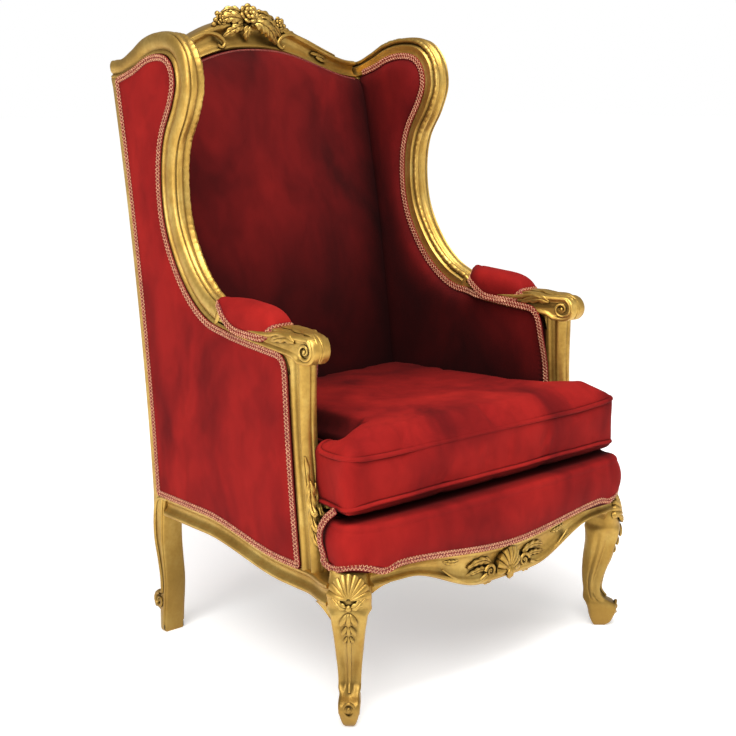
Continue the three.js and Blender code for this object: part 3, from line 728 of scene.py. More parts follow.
def back_post(word, side):
    front = spline([(221, 0), (218, 36), (212, 98), (216, 140), (219, 176), (217, 224),
                    (stile_front_y(SEAT_Z), SEAT_Z)], 10)
    # the wing's moulding is mitred over the head of the stile
    head = wing_fabric[0][1] + 3
    up = [(stile_front_y(z), z) for z in np.linspace(SEAT_Z, head, 40)[1:]]
    down = [(back_y(z), z) for z in np.linspace(head, SEAT_Z, 40)]
    back = spline([(252, 220), (250, 176), (240, 138), (233, 104), (232, 84)], 10)
    volute = arc(REAR_SCROLL, REAR_SCROLL_RADIUS, 98, -82, 24)
    outline = np.vstack([front, up, down, back, volute, [(239, 6), (236, 0)]])
    work = Work()

    def place(y, z, depth):
        return on_side(side, y, np.maximum(z, 0), depth)

    work.plate(outline, [(5, 0), (2, 0.7), (0.6, 2.2), (0, 4.5), (0, STILE_WIDTH - 4.5),
                         (0.6, STILE_WIDTH - 2.2), (2, STILE_WIDTH - 0.7), (5, STILE_WIDTH)], place)
    # a bead down the back edge that winds into the scroll, and one up the front edge
    turn_down = spline([(206, rail_top_z(206) - 4), (226, 257), (240, 252), (247, 240), (250, 226)], 6)
    winding = arc(REAR_SCROLL, REAR_SCROLL_RADIUS, 98, -40, 16)
    rear = np.vstack([turn_down, back[3:], winding]) - (6, 0)
    for depth in (0.2, STILE_WIDTH - 0.2):
        work.volute((REAR_SCROLL[0] + 1, REAR_SCROLL[1]), 16, place, 1.5, 100, -1, 4.6, depth)
        work.tube(place(*rear.T, depth), np.linspace(3, 4.2, len(rear)))
        work.tube(place(*(front[4:] + (5, 0)).T, depth), 2.6)
    work.made(f"back_post_gilt_{word}", [GOLD], "gilt_wood", [f"back_post_{word}"])


# ---------------------------------------------------------------- arms and arm posts

arm_top = spline([(10, 619), (-20, 611), (-110, 607), (-138, 612)])
arm_low = spline([(-165, 576), (-110, 580), (-50, 585), (10, 592)])
# [inset, depth] into the arm's face: a reed along both edges, then a hollow
ARM_FACE = [(11.5, 3.4), (9.4, 3.6), (8, 2.4), (6.8, 0.7), (4.6, 0), (2.4, 0.5), (0.8, 2.2), (0, 5)]


def arm_rail(word, side):
    outline = np.vstack([[wing_fabric[-1]], [wing_edge[-1]], arm_top, [(-150, 613), (-176, 611)],
                         arc(SCROLL, SCROLL_RADIUS - 4, 80, 275, 24),
                         [(-188, 566), (-178, 574), (-170, 575)], arm_low])
    outline = softened(even(outline, 2.5, closed=True), 3, closed=True)
    levels = ([(away, depth - ARM_OUTSET) for away, depth in ARM_FACE]
              + [(away, ARM_THICK - ARM_OUTSET - depth) for away, depth in ARM_FACE[::-1]])
    middle = ARM_THICK / 2 - ARM_OUTSET
    work = Work()

    def place(y, z, depth):
        # as thick as the wing where they meet; the scroll narrows towards its front
        y, z, depth = arrays(y, z, depth)
        at_scroll, at_wing = smooth((-160 - y) / 66), smooth((y + 40) / 60)
        pinch = 1 - 0.38 * at_scroll - 0.3 * at_wing
        shift = -5.5 * at_wing - 5 * at_scroll
        return on_side(side, y, z, middle + shift + (depth - middle) * pinch)

    work.plate(outline, levels, place)
    for depth in (-ARM_OUTSET + 1.5, ARM_THICK - ARM_OUTSET - 1.5):
        work.volute(SCROLL, 18.5, place, 1.6, 115, 1, 3.4, depth)
    # acanthus that rises in front of the pad and folds over the scroll
    keys = [(-112, 605), (-128, 613), (-150, 614), (-180, 611), (-207, 610), (-223, 601),
            (-229, 586), (-223, 570)]
    out = [(0, 0.5, 1), (0, 0.1, 1), (0, 0.0, 1), (0, -0.2, 1), (0, -0.6, 1), (0, -1, 0.6),
           (0, -1, 0), (0, -0.8, -0.6)]
    for across, width, rise, lobes in ((0, 28, 6, 5), (-17, 19, 4.5, 4), (17, 19, 4.5, 4)):
        points = [place(y + abs(across) * 0.3, z - abs(across) * 0.12, middle + across) for y, z in keys]
        work.leaf(points, out, width, rise, lobes)
    # a leaf laid on each cheek behind the scroll
    for depth, way in ((-ARM_OUTSET + 2, -1), (ARM_THICK - ARM_OUTSET - 2, 1)):
        points = [place(y, z, depth) for y, z in ((-184, 600), (-166, 605), (-144, 601), (-124, 595))]
        work.leaf(points, (side * -way, 0, 0), 17, 4.5, 3, rows=28)
    work.made(f"arm_carved_{word}", [GOLD], "gilt_wood", [f"arm_rail_{word}"])


# one half of the post's cross-section, [forward, depth]: a flat, a hollow, and a bold reed
POST_HALF = [
    (0, 12), (0.6, 3), (3, 0.5), (7, 0), (10.6, 0.8), (12.6, 3), (15, 7), (18.6, 9), (22, 7.4),
    (24, 3.4), (26.4, 0.8), (29.6, 0.6), (33, 3), (35.8, 7), (37.6, 11.6), (37.8, 15.4), (35.6, 18.6)]
POST_SECTION = POST_HALF + [(forward, POST_WIDTH - depth) for forward, depth in POST_HALF[::-1]]


def arm_post(word, side):
    keys = np.array(POST_SECTION, float)
    section = even(spline(np.vstack([keys, keys[:1]]), 5)[:-1], 1.6, closed=True)
    rings = []
    for share in np.linspace(0, 1, 46):
        low = rail_top_z(post_back_y(242) - section[:, 0]) - 2
        z = low + (POST_TOP_Z + 6 - low) * share
        waist = 1 - 0.1 * math.sin(math.pi * share) - 0.06 * share
        middle = np.array([POST_DEPTH / 2, POST_WIDTH / 2])
        forward, depth = (middle + (section - middle) * (1, waist)).T
        # the front reeds sweep forward at the foot and again just below the arm
        sway = 3.5 * np.sin(2 * math.pi * (share * 1.1 + 0.1)) * section[:, 0] / POST_DEPTH
        rings.append(on_side(side, post_back_y(z) - forward - sway, z, depth))
    work = Work()
    work.skin(rings)
    # acanthus in layers at the post's foot: each tongue hugs the reed, then curls forward
    front = POST_DEPTH - 2
    for tier, low in enumerate((336, 312, 290)):
        for depth, lean, drop in ((6, -0.9, 0), (POST_WIDTH / 2, 0.0, 5), (32, 0.9, 0)):
            tip = low - drop
            keys = []
            for up, push in ((46, 0), (26, 2.5), (10, 4.5), (0, 9), (-4, 14), (2, 17)):
                z = tip + up
                keys.append(on_side(side, post_back_y(z) - front - push, z, depth + lean * (3 - up / 12)))
            work.leaf(keys, (side * -lean, -1, 0.2), 17 - tier, 6, 3, rows=36)
    # long curling tongues up the reeds above them
    for depth, lean in ((4, -1.0), (34, 1.0)):
        keys = [on_side(side, post_back_y(z) - 30 - push, z, depth)
                for z, push in ((420, 0), (392, 2), (366, 4.5), (352, 8))]
        work.leaf(keys, (side * -lean, -0.6, 0.0), 13, 5, 2, rows=30)
    # a small bracket rounds the corner under the arm, behind the post
    corner = np.vstack([[(-170, 582), (-170, 545)], arc((-146, 554), 22, 180, 90, 8), [(-120, 582)]])
    work.plate(even(corner, 2.5, closed=True),
               [(1.5, 1), (0, 3), (0, POST_WIDTH - 2), (1.5, POST_WIDTH)],
               lambda y, z, depth: on_side(side, y, z, depth))
    work.made(f"arm_post_carved_{word}", [GOLD], "gilt_wood", [f"arm_post_{word}"])


# ---------------------------------------------------------------- seat rails

# [depth, drop] down the side rail's face: bead, wide hollow, rounded lower lip
SIDE_RAIL_SECTION = [
    (4, 0), (1, 0.6), (-1, 3), (-0.8, 6), (1.4, 8.2), (4, 9.4), (6.4, 13), (7.4, 17.5),
    (6.4, 22), (3.8, 25.4), (1.2, 27), (-1.6, 29.6), (-2.2, 33), (-0.6, 36), (2.6, RAIL_HEIGHT),
    (26, RAIL_HEIGHT), (RAIL_THICK, 33), (RAIL_THICK, 0)]
KNEE_FLARE = 13         # the rail swells out to meet the knee of the leg


def side_rail(word, side):
    back = node_box(f"side_rail_{word}")[1][1]
    front = LEG_Y + LEG_BLOCK
    depth, drop = np.array(SIDE_RAIL_SECTION, float).T

    def swell(y):
        return KNEE_FLARE * smooth((-208 - y) / 66)

    work = Work()
    work.skin([on_side(side, y, rail_top_z(y) - drop, depth - swell(y) * (depth < 20))
               for y in np.linspace(back, front - 8, 64)])
    # the rail's underside sweeps down into the leg
    low = rail_top_z(front) - RAIL_HEIGHT
    curve = arc((front + 28, low - 32), 31, 184, 92, 16)
    depths = [(16 * (1 - share) ** 2 - 1.6 * share, 27) for share in np.linspace(0, 1, len(curve))]
    work.bracket(curve, (front - 12, low + 12), depths,
                 lambda y, z, d: on_side(side, y, z, d - swell(y) * (d < 20)))
    work.made(f"side_rail_gilt_{word}", [GOLD], "gilt_wood", [f"side_rail_{word}"])


# [depth, share of the height down from the top edge]
FRONT_RAIL_SECTION = [
    (1.5, 0), (-0.4, 0.02), (-1.2, 0.07), (-0.2, 0.13), (2.2, 0.17), (4.6, 0.25), (7, 0.37),
    (8, 0.5), (7, 0.63), (4.4, 0.73), (1.8, 0.78), (0.6, 0.8), (-1.2, 0.84), (-1.8, 0.9),
    (-0.4, 0.96), (3.6, 1), (RAIL_THICK - 5, 1), (RAIL_THICK, 0.93), (RAIL_THICK, 0)]


def front_rail():
    end = LEG_X - LEG_BLOCK
    depth, share = np.array(FRONT_RAIL_SECTION, float).T
    work = Work()
    rings = []
    for x in np.linspace(-end - 8, end + 8, 130):
        top, low = front_top_z(x), front_bottom_z(x)
        rings.append(np.stack([np.full_like(depth, x), front_y(x) + depth,
                               top - (top - low) * share], axis=1))
    work.skin(rings)
    out, up = (0, -1, -0.1), (0, 0, 1)
    # cartouche: a scallop between two scrolls, with a leaf under it
    work.shell((0, FRONT_Y + 4, 196), out, up, 58, 40, 9)
    work.leaf([(0, FRONT_Y - 1, 204), (0, FRONT_Y - 5, 192), (0, FRONT_Y - 2, 178)], out, 22, 6, 3)

    def face(x, z, lift):
        x, z, lift = arrays(x, z, lift)
        return np.stack([x, front_y(x) + 6 - lift, z], axis=-1)

    for turn in (-1, 1):
        def mirrored(x, z, lift):
            return face(turn * np.asarray(x), z, lift)
        work.volute((42, 200), 13, mirrored, 1.4, 10, 1, 3.4, 3.5)
        arm = spline([(54, 197), (74, 190), (104, 196), (134, 212), (156, 229)], 10)
        work.tube(mirrored(*arm.T, 5.5), np.linspace(3.6, 1.6, len(arm)))
        for keys, width, rise in (([(40, 214), (56, 222), (76, 222), (94, 216)], 15, 5.5),
                                  ([(52, 206), (66, 208), (82, 206), (98, 204)], 11, 4.5),
                                  ([(116, 234), (132, 235), (150, 240)], 12, 5),
                                  ([(30, 192), (46, 184), (64, 184)], 12, 4.5)):
            work.leaf([mirrored(x, z, 1) for x, z in keys], out, width, rise, 4, rows=32)
        # the rail's underside sweeps down into the leg
        low = front_bottom_z(end)
        curve = arc((end - 28, low - 32), 31, -4, 88, 16)
        depths = [(28 * (1 - share) ** 2 + 1, 37 - 10 * share) for share in np.linspace(0, 1, len(curve))]
        work.bracket(curve, (end + 12, low + 12), depths,
                     lambda x, z, d: np.array([turn * x, front_y(x) + d, z]))
    work.made("front_rail_carved", [GOLD], "gilt_wood", ["front_rail"])


def back_rail():
    """Plain rail: a sawn plank with its long edges planed off."""
    low, high = (np.array(corner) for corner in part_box("back_rail"))
    bpy.ops.object.select_all(action="DESELECT")
    bpy.ops.mesh.primitive_cube_add(size=1, location=(low + high) / 2)
    plank = bpy.context.object
    plank.name = "back_rail_plank"
    plank.scale = high - low
    bpy.ops.object.transform_apply(location=True, rotation=True, scale=True)
    bpy.ops.object.mode_set(mode="EDIT")
    bpy.ops.mesh.select_all(action="SELECT")
    bpy.ops.mesh.bevel(offset=0.004, segments=3, affect="EDGES")
    bpy.ops.object.mode_set(mode="OBJECT")
    settled(plank, [GOLD], ["back_rail"])


# ---------------------------------------------------------------- front legs

# [z, outer, inner, half width, block]: out and in along the corner's diagonal, across it,
# and how far the four faces of the square leg stand out
LEG_LEVELS = [
    (0, 4, 18, 10, 22), (6, 12, 22, 13, 25), (18, 18, 27, 17, 28), (32, 23, 30, 20, 31),
    (42, 20, 34, 20, 32), (52, 4, 40, 18, 30), (66, -8, 43, 17, 28), (90, -7, 46, 18, 30),
    (115, 2, 44, 20, 32), (140, 11, 41, 22, 34), (165, 18, 38, 25, 36), (186, 24, 40, 30, 34),
    (200, 26, 46, 42, 30), (216, 26, 46, 44, 30), (234, 18, 46, 44, 30), (248, 9, 46, 44, 30),
    (254, 2, 46, 44, 30)]
FACE_TURNS = np.radians([0, 90, 180, 270, 45, 135, 225, 315])


def front_leg(word, side):
    def diagonal(out, z, across=0):
        """Points by their way out along the corner's diagonal, height, and way across it."""
        out, z, across = arrays(out, z, across)
        return np.stack([side * (LEG_X + (out + across) * DIAGONAL),
                         LEG_Y + (across - out) * DIAGONAL, z], axis=-1)

    levels = spline(LEG_LEVELS, 6)
    turn = np.linspace(0, 2 * math.pi, 96, endpoint=False)
    folded = np.abs((turn + math.pi) % (2 * math.pi) - math.pi)
    # a sharp spine on the corner, then hollows and reeds by turns round to the sides
    fluting = sum(rise * np.exp(-((folded - at) / wide) ** 2)
                  for at, wide, rise in ((0, 0.13, 2.8), (0.42, 0.18, -2.2), (0.86, 0.15, 1.8),
                                         (1.22, 0.14, -2.2), (1.6, 0.16, 1.8), (1.98, 0.16, -1.6)))
    rings = []
    for z, outer, inner, half, block in levels:
        middle, reach = (outer - inner) / 2, (outer + inner) / 2
        lean = block + np.array([-1, 1, 1, -1]) * middle * DIAGONAL
        # under the seat border the two show faces draw back
        lean = lean - np.array([1, 0, 0, 1]) * 10 * smooth((z - 214) / 38)
        slim = half - 2.5 * smooth((62 - z) / 12)
        distance = np.concatenate([[reach, slim, reach, slim], lean])
        facing = np.maximum(np.cos(turn[:, None] - FACE_TURNS), 0) / distance
        power = 9 - 3.5 * smooth((z - 188) / 14)
        radius = np.sum(facing ** power, axis=1) ** (-1 / power)
        radius = radius + fluting * smooth((z - 44) / 16) * smooth((196 - z) / 24)
        rings.append(diagonal(middle + radius * np.cos(turn), max(z, 0), radius * np.sin(turn)))
    work = Work()
    work.skin(rings)
    out, up = np.array([side, -1, 0.0]), np.array([0, 0, 1.0])
    # the knee: a wide scallop that wraps the corner, over two leaf tips and an eye
    work.shell(diagonal(25, 215), (side, -1, 0.4), up, 72, 42, 6, 84, 14)
    for across in (-1, 1):
        keys = [diagonal(26, 204, across * 3), diagonal(28, 207, across * 10),
                diagonal(24, 215, across * 20), diagonal(18, 223, across * 27)]
        work.leaf(keys, out, 13, 4, 3, rows=24)
    work.ball(diagonal(27, 204), [unit(np.cross(out, up)), up, unit(out)], (5, 6, 4))
    # husks below the shell, and a long stem down the spine
    for z, push, size in ((185, 25, 12), (166, 20, 10), (149, 15, 8)):
        for across in (-0.6, 0, 0.6):
            axis = unit([side * across * 0.6, across * 0.6, -1])
            work.ball(diagonal(push, z, across * size), [np.cross(axis, out), axis, out],
                      (size * 0.4, size, 4.2))
    stem = spline([diagonal(13, 146), diagonal(8, 128), diagonal(0, 108), diagonal(-5, 88),
                   diagonal(-6, 70), diagonal(4, 55)], 8)
    work.tube(stem, np.linspace(4.4, 2.2, len(stem)))
    # the scroll toe: a spiral on each cheek, and an oval boss in front
    for way in (-1, 1):
        work.volute((8, 32), 12, lambda o, z, lift: diagonal(o, z, way * lift), 1.3, 70, -1, 2.6, 14.5)
    ring = np.linspace(0, 2 * math.pi, 28, endpoint=False)
    oval = diagonal(23 - 2.5 * np.cos(ring) ** 2, 35 + 11 * np.sin(ring), 8 * np.cos(ring))
    work.tube(oval, 2.4, loop=True)
    work.ball(diagonal(22.5, 35), [unit(np.cross(out, up)), up, unit(out)], (4, 6, 4))
    work.made(f"front_leg_carved_{word}", [GOLD], "gilt_wood", [f"front_leg_{word}"])


# ---------------------------------------------------------------- crest rail

# [forward of the back edge, share of the height], up the front and down the back
CREST_SECTION = [
    (32, 0), (36.4, 0.02), (38.2, 0.07), (37.4, 0.12), (33.4, 0.17), (29.6, 0.27), (27.4, 0.42),
    (27.8, 0.56), (31, 0.67), (34, 0.71), (38.4, 0.75), (41, 0.82), (41.2, 0.9), (38, 0.97),
    (33, 1), (7, 0.99), (2, 0.92), (1, 0.8), (1.5, 0.08), (5, 0)]


def crest_rail():
    end = outer_x(back_y(STILE_TOP_Z)) - STILE_WIDTH
    forward, share = np.array(CREST_SECTION, float).T
    work = Work()
    rings = []
    for x in np.linspace(-end, end, 120):
        z = crest_bottom_z(x) + (crest_top_z(x) - crest_bottom_z(x)) * share
        rings.append(np.stack([np.full_like(z, x), back_y(z) - forward, z], axis=1))
    work.skin(rings)

    def face(x, z, lift):
        return np.array([x, back_y(z) - STILE_DEPTH + 7 - lift, z])

    out, up = (0, -1, 0.15), (0, 0, 1)
    # a full-blown flower at the top
    work.ball(face(-4, 1118, 8), np.eye(3), (19, 15, 13), 10, 16)
    work.rosette(face(-4, 1120, 16), (-0.15, -1, 0.35), up, 19, 7)
    # leaves and buds round it: (keys of x, z, lift), width, rise, lobes
    sprays = (
        ([(-14, 1106, 10), (-32, 1112, 15), (-54, 1112, 11), (-76, 1100, 4)], 24, 9, 5),
        ([(-12, 1114, 8), (-28, 1125, 11), (-46, 1127, 8), (-60, 1120, 4)], 18, 8, 4),
        ([(-14, 1098, 8), (-30, 1096, 12), (-48, 1088, 9), (-62, 1078, 4)], 18, 8, 4),
        ([(4, 1106, 12), (20, 1102, 19), (40, 1088, 18), (58, 1066, 9)], 30, 11, 5),
        ([(12, 1112, 8), (32, 1110, 14), (56, 1096, 12), (76, 1076, 5)], 24, 10, 5),
        ([(14, 1120, 5), (34, 1122, 8), (56, 1112, 7), (74, 1102, 3)], 18, 7, 4),
        ([(-2, 1104, 8), (-8, 1094, 12), (-10, 1082, 9), (-8, 1072, 4)], 20, 7, 4),
        ([(66, 1098, 5), (84, 1092, 7), (102, 1086, 5), (122, 1080, 2)], 15, 6, 4))
    for keys, width, rise, lobes in sprays:
        work.leaf([face(*key) for key in keys], out, width, rise, lobes)
    work.rosette(face(68, 1104, 11), out, up, 13, 5)
    work.rosette(face(-66, 1110, 9), out, up, 12, 5)
    berries = ((-78, 1108), (-84, 1100), (-72, 1120), (-24, 1120), (28, 1126), (84, 1100), (80, 1110))
    for x, z in berries:
        work.ball(face(x, z, 9), np.eye(3), (5, 5, 5), 7, 10)
    # the rail's upper reed breaks into a scroll on each side of the flower
    for turn in (-1, 1):
        scroll = spline([(206, 1046), (170, 1060), (130, 1076), (98, 1084), (74, 1078), (64, 1066),
                         (72, 1058), (80, 1063)], 10)
        line = [face(turn * x, z, 8) for x, z in scroll]
        swelling = np.concatenate([np.linspace(1.2, 4.4, 40), np.linspace(4.4, 2.4, len(line) - 40)])
        work.tube(line, swelling)
        for keys in ([(150, 1050), (168, 1047), (186, 1040)], [(162, 1043), (174, 1037), (186, 1033)]):
            work.leaf([face(turn * x, z, 1) for x, z in keys], out, 8, 3, 3, rows=24)
    work.made("crest_rail_carved", [GOLD], "gilt_wood", ["crest_rail"], 50)


# ---------------------------------------------------------------- side panels

def side_opening(back_strip, lap=0):
    """The cloth's edge on one side: up the front from the rail, and up the stile.

    back_strip is the bare wood left at the back, and lap is how far it covers the arm.
    """
    foot = post_back_y(240)
    post = [(post_back_y(z), z) for z in np.linspace(rail_top_z(foot), 560, 60)]
    corner_z = wing_fabric[0][1]
    rim = wing_fabric[::-1][4:]
    rim = rim[rim[:, 0] < back_y(corner_z) - back_strip - 3]
    corner = (back_y(corner_z) - back_strip, corner_z - 1)
    front = np.vstack([post, arm_low[3:-4] + (0, lap), rim, [corner]])
    front = softened(even(front, 4.5), 8)
    back_z = np.linspace(rail_top_z(200), corner_z - 1, len(front))
    back = np.stack([back_y(back_z) - back_strip, back_z], axis=1)
    return front, back


def opening_grid(front, back):
    """Rows of points from the front edge to the stile, the lowest along the rail."""
    share = np.linspace(0, 1, 40)[None, :, None]
    grid = front[:, None] * (1 - share) + back[:, None] * share
    rise = np.linspace(0, 1, len(front))[:, None]
    grid[..., 1] += (rail_top_z(grid[0, :, 0]) - grid[0, :, 1])[None] * (1 - rise) ** 4
    return grid


def edge_distance(grid):
    """How far each point of a grid lies from the grid's rim."""
    rim = np.vstack([grid[0], grid[-1], grid[:, 0], grid[:, -1]])
    flat = grid.reshape(-1, 2)
    near = np.min(np.linalg.norm(flat[:, None] - rim[None, ::2], axis=2), axis=1)
    return near.reshape(grid.shape[:2])


def lapped_share(y, z):
    """How fully the inner padding laps over the wood, under the arm: from 0 to 1."""
    return smooth((28 - y) / 50) * smooth((z - 470) / 95)


def side_cloth(word, side):
    """The outer face of a side: velvet stretched over canvas, tacked round its edge."""
    front, back = side_opening(GOLD_STRIP)
    grid = opening_grid(front, back)
    near = edge_distance(grid)
    y, z = grid[..., 0], grid[..., 1]
    depth = -1.2 - 3.2 * (1 - np.exp(-near / 22)) - 0.5 * np.sin(z / 37 + y / 61) * smooth(near / 40)
    cloth = covering(f"outer_cloth_{word}", VELVET, f"outside_side_{word}",
                     on_side(side, y, z, depth), on_side(side, y, z, CLOTH_TURN_IN))
    # gimp right round the edge
    rail = [(at, rail_top_z(at)) for at in np.linspace(back[0][0], front[0][0], 50)][1:-1]
    outline = np.vstack([front, back[::-1], rail])
    outline = softened(even(inset(even(outline, 3, closed=True), 3.5), 3, closed=True), 4, closed=True)
    on_rail = outline[:, 1] < rail_top_z(outline[:, 0]) + 8
    outline[:, 1] = np.where(on_rail, rail_top_z(outline[:, 0]) + 4, outline[:, 1])
    gimp(f"gimp_outer_{word}", on_side(side, *outline.T, -2.6), (side, 0, 0), closed=True)


def side_padding(word, side):
    """The inner face of a side: a stuffed panel from the ear down into the seat."""
    front, back = side_opening(STILE_DEPTH, UNDER_ARM_LAP)
    grid = opening_grid(front, back)
    near = edge_distance(grid)
    y, z = grid[..., 0], grid[..., 1]
    full = PANEL_STAND + 1 - (14 - 17 * lapped_share(y, z)) * np.exp(-near / 11)
    full = full + 2 * smooth(near / 60) * np.sin(z / 52 + y / 70)
    # painted shade: the inner padding wears the darker copy of the velvet
    pad = covering(f"inner_padding_{word}", SHADED_SIDE_VELVET, f"inside_side_{word}",
                   on_side(side, y, z, full), on_side(side, y, z, 20))
    # gimp beside the wing, under the arm and down the post
    line = (front + 4.5 * left_of(front))[int(len(front) * 0.08):-4]
    gimp(f"gimp_inner_{word}", on_side(side, *line.T, 41.5 + 15 * lapped_share(*line.T)), (-side, 0, 0))


# ---------------------------------------------------------------- back

def inside_back():
    """The stuffed back: fullest at the small of the back, and drawn in at its edges."""
    low = SEAT_Z + 2
    turn = np.linspace(-1, 1, 72)[None, :]
    rise = np.linspace(0, 1, 110)[:, None]
    top = crest_bottom_z(turn * (SIDE_X - PANEL_STAND)) - 2
    z = low + (top - low) * rise
    edge = 1 - np.exp(-(top - z) / 14)
    side_fall = 1 - 0.5 * np.abs(turn) ** 7
    edge_stand = 8
    stand = edge_stand + (INNER_STAND - edge_stand) * edge * side_fall
    stand = stand + 5 * np.exp(-((z - 600) / 150) ** 2) * (1 - turn ** 2)
    y = back_y(z) - STILE_DEPTH - stand * smooth(rise / 0.03)
    half = outer_x(y) - PANEL_STAND + 2
    front = np.stack([turn * half, y, z], axis=-1)
    behind = np.stack([turn * half, back_y(z) - 9 + 0 * turn, z], axis=-1)
    # painted shade: the inside back wears the darkest copy of the velvet
    pad = covering("back_padding", SHADED_BACK_VELVET, "inside_back", front, behind)
    x = np.linspace(-1, 1, 150) * (SIDE_X - PANEL_STAND - 8)
    z = crest_bottom_z(x) - 5
    line = even(np.stack([x, back_y(z) - STILE_DEPTH - 9.5, z], axis=1), 3)
    gimp("gimp_inner_back", line, (0, -1, 0), width=CREST_GIMP_WIDTH, looks=CREST_GIMP)


def outside_back():
    """Velvet stretched down the back, between the stiles."""
    low = SEAT_Z - 4
    turn = np.linspace(-1, 1, 60)[None, :]
    rise = np.linspace(0, 1, 90)[:, None]
    half = SIDE_X - STILE_WIDTH + 4
    top = crest_bottom_z(turn * half) + 6
    z = low + (top - low) * rise
    taut = (1 - turn ** 8) * (1 - (2 * rise - 1) ** 8)
    y = back_y(z) + 1.2 + 3 * taut
    x = turn * half + 0 * z
    cloth = covering("back_cloth", VELVET, "outside_back", np.stack([x, y, z], axis=-1),
                     np.stack([x, back_y(z) - CLOTH_TURN_IN, z], axis=-1))
    edge = half - 5
    up = np.linspace(low + 5, crest_bottom_z(edge) + 1, 80)
    across = np.linspace(edge, -edge, 80)[1:-1]
    outline = np.vstack([[(edge, z) for z in up],
                         [(x, crest_bottom_z(x) + 1) for x in across],
                         [(-edge, z) for z in up[::-1]],
                         [(x, low + 5) for x in across[::-1]]])
    outline = softened(even(outline, 3, closed=True), 5, closed=True)
    line = np.stack([outline[:, 0], back_y(outline[:, 1]) + 2.2, outline[:, 1]], axis=1)
    gimp("gimp_outer_back", line, (0, 1, 0), closed=True)


# ---------------------------------------------------------------- seat

def seat_plan(body_half, front_half, ear_y, rear_y, front, corner):
    """A T-shaped plan whose front part widens in front of the arm posts."""
    reach = front_half - corner
    nose = [(x, front(x)) for x in np.linspace(-reach, reach, 60)]
    turn = arc((reach, front(reach) + corner), corner, -80, 0, 14)
    half = np.vstack([turn, [(front_half, ear_y), (body_half(ear_y), ear_y),
                             (body_half(rear_y), rear_y)]])
    plan = np.vstack([nose, half, half[::-1] * (-1, 1)])
    return even(plan, 6, closed=True)


def inner_half(y):
    return outer_x(y) - PANEL_STAND - 1.5


def seat_tilt(y):
    return (LEG_Y - y) * 0.03


def ear_line(z):
    """Where the border's side ends: it curves round the foot of the arm post."""
    return np.interp(z, (258, 276, 296, 318, 338, 354), (-262, -251, -246, -249, -262, -282))


def knee_arch(plan, half):
    """Rise of the border's foot round the knee: an arch between two dips."""
    mirrored = np.column_stack([np.abs(plan[:, 0]), plan[:, 1]])
    away = np.linalg.norm(mirrored - (half - 13, FRONT_Y + 26), axis=1)
    return 6 * np.exp(-(away / 20) ** 2) - 8 * np.exp(-((away - 44) / 16) ** 2)


def seat_deck():
    """The fixed seat: its front border stands on the rail, swells, and rolls over."""
    high = node_box("seat_deck")[1]
    half = high[0] - 13
    ear_y = -246
    cushion_low = node_box("seat_cushion")[0][2] + 1
    plan = softened(seat_plan(inner_half, half, ear_y, high[1], lambda x: front_y(x) - 3, 44), 1, True)
    nose = smooth((ear_y + 8 - plan[:, 1]) / 50)
    ahead = plan[:, 1] < ear_y + 2
    # the border's foot arches over the carved knees
    foot = np.where(ahead, front_top_z(plan[:, 0]) - 2 + knee_arch(plan, half), SEAT_Z + 2)
    roll = cushion_low + seat_tilt(plan[:, 1]) - 4 - 8 * nose
    rings = []

    def level(away, belly, z):
        flat = inset(plan, away)
        push = unit(plan * (0.9, 1) - (0, -150)) * (belly * nose)[:, None] if belly else 0
        flat = flat + push
        flat[:, 1] += (ear_line(z) - ear_y) * smooth((flat[:, 1] + 300) / 45) * (flat[:, 1] < ear_y + 25)
        return np.column_stack([flat, z])

    for share in np.linspace(0, 1, 34):
        belly = 8.5 * math.sin(math.pi * min(share * 1.06, 1)) ** 0.8
        rings.append(level(1.5, belly, foot + (roll - 8 - foot) * share))
    for away, lift in ((3, -4), (6, -1.6), (11, 0), (24, 1)):
        rings.append(level(away, 0, roll + lift))
    work = Work()
    work.skin(rings)
    deck = work.made("seat_deck_padding", [VELVET], "velvet", ["seat_deck"], 60)
    # gimp along the foot of the border and up beside each arm post
    front = plan[plan[:, 1] < ear_y - 2]
    start = int(np.argmax(np.linalg.norm(front - np.roll(front, 1, 0), axis=1)))
    front = np.roll(front, -start, axis=0)
    ahead = np.column_stack([unit(front - (0, -230)) * (0.6, 1), np.zeros(len(front))])
    side_face = np.abs(front[:, :1]) > half - 3
    out = np.where(side_face, np.sign(front[:, :1]) * (1, 0, 0), unit(ahead))
    z = front_top_z(front[:, 0]) + 4 + knee_arch(front, half)
    foot_line = np.column_stack([front, z]) + out * 2.4
    climbs = []
    for x, _, start_z in (foot_line[0], foot_line[-1]):
        z = np.linspace(start_z + 6, 352, 24)
        bow = 6 * np.sin(math.pi * (z - start_z) / 100)
        climbs.append(np.column_stack([x + np.sign(x) * bow, ear_line(z) - 5, z]))
    line = np.vstack([climbs[0][::-1], foot_line, climbs[1]])
    outs = np.vstack([np.broadcast_to(out[0], (24, 3)), out, np.broadcast_to(out[-1], (24, 3))])
    flow = softened(np.hstack([line, outs]), 3)
    gimp("gimp_seat", flow[:, :3], unit(flow[:, 3:]))


CUSHION_THICK = 96
CUSHION_CAP = 26         # how far the stuffing may push the cover
CUSHION_FRAMES = 20
PIPING_RADIUS = 4.2
SEAM_REACH = 24


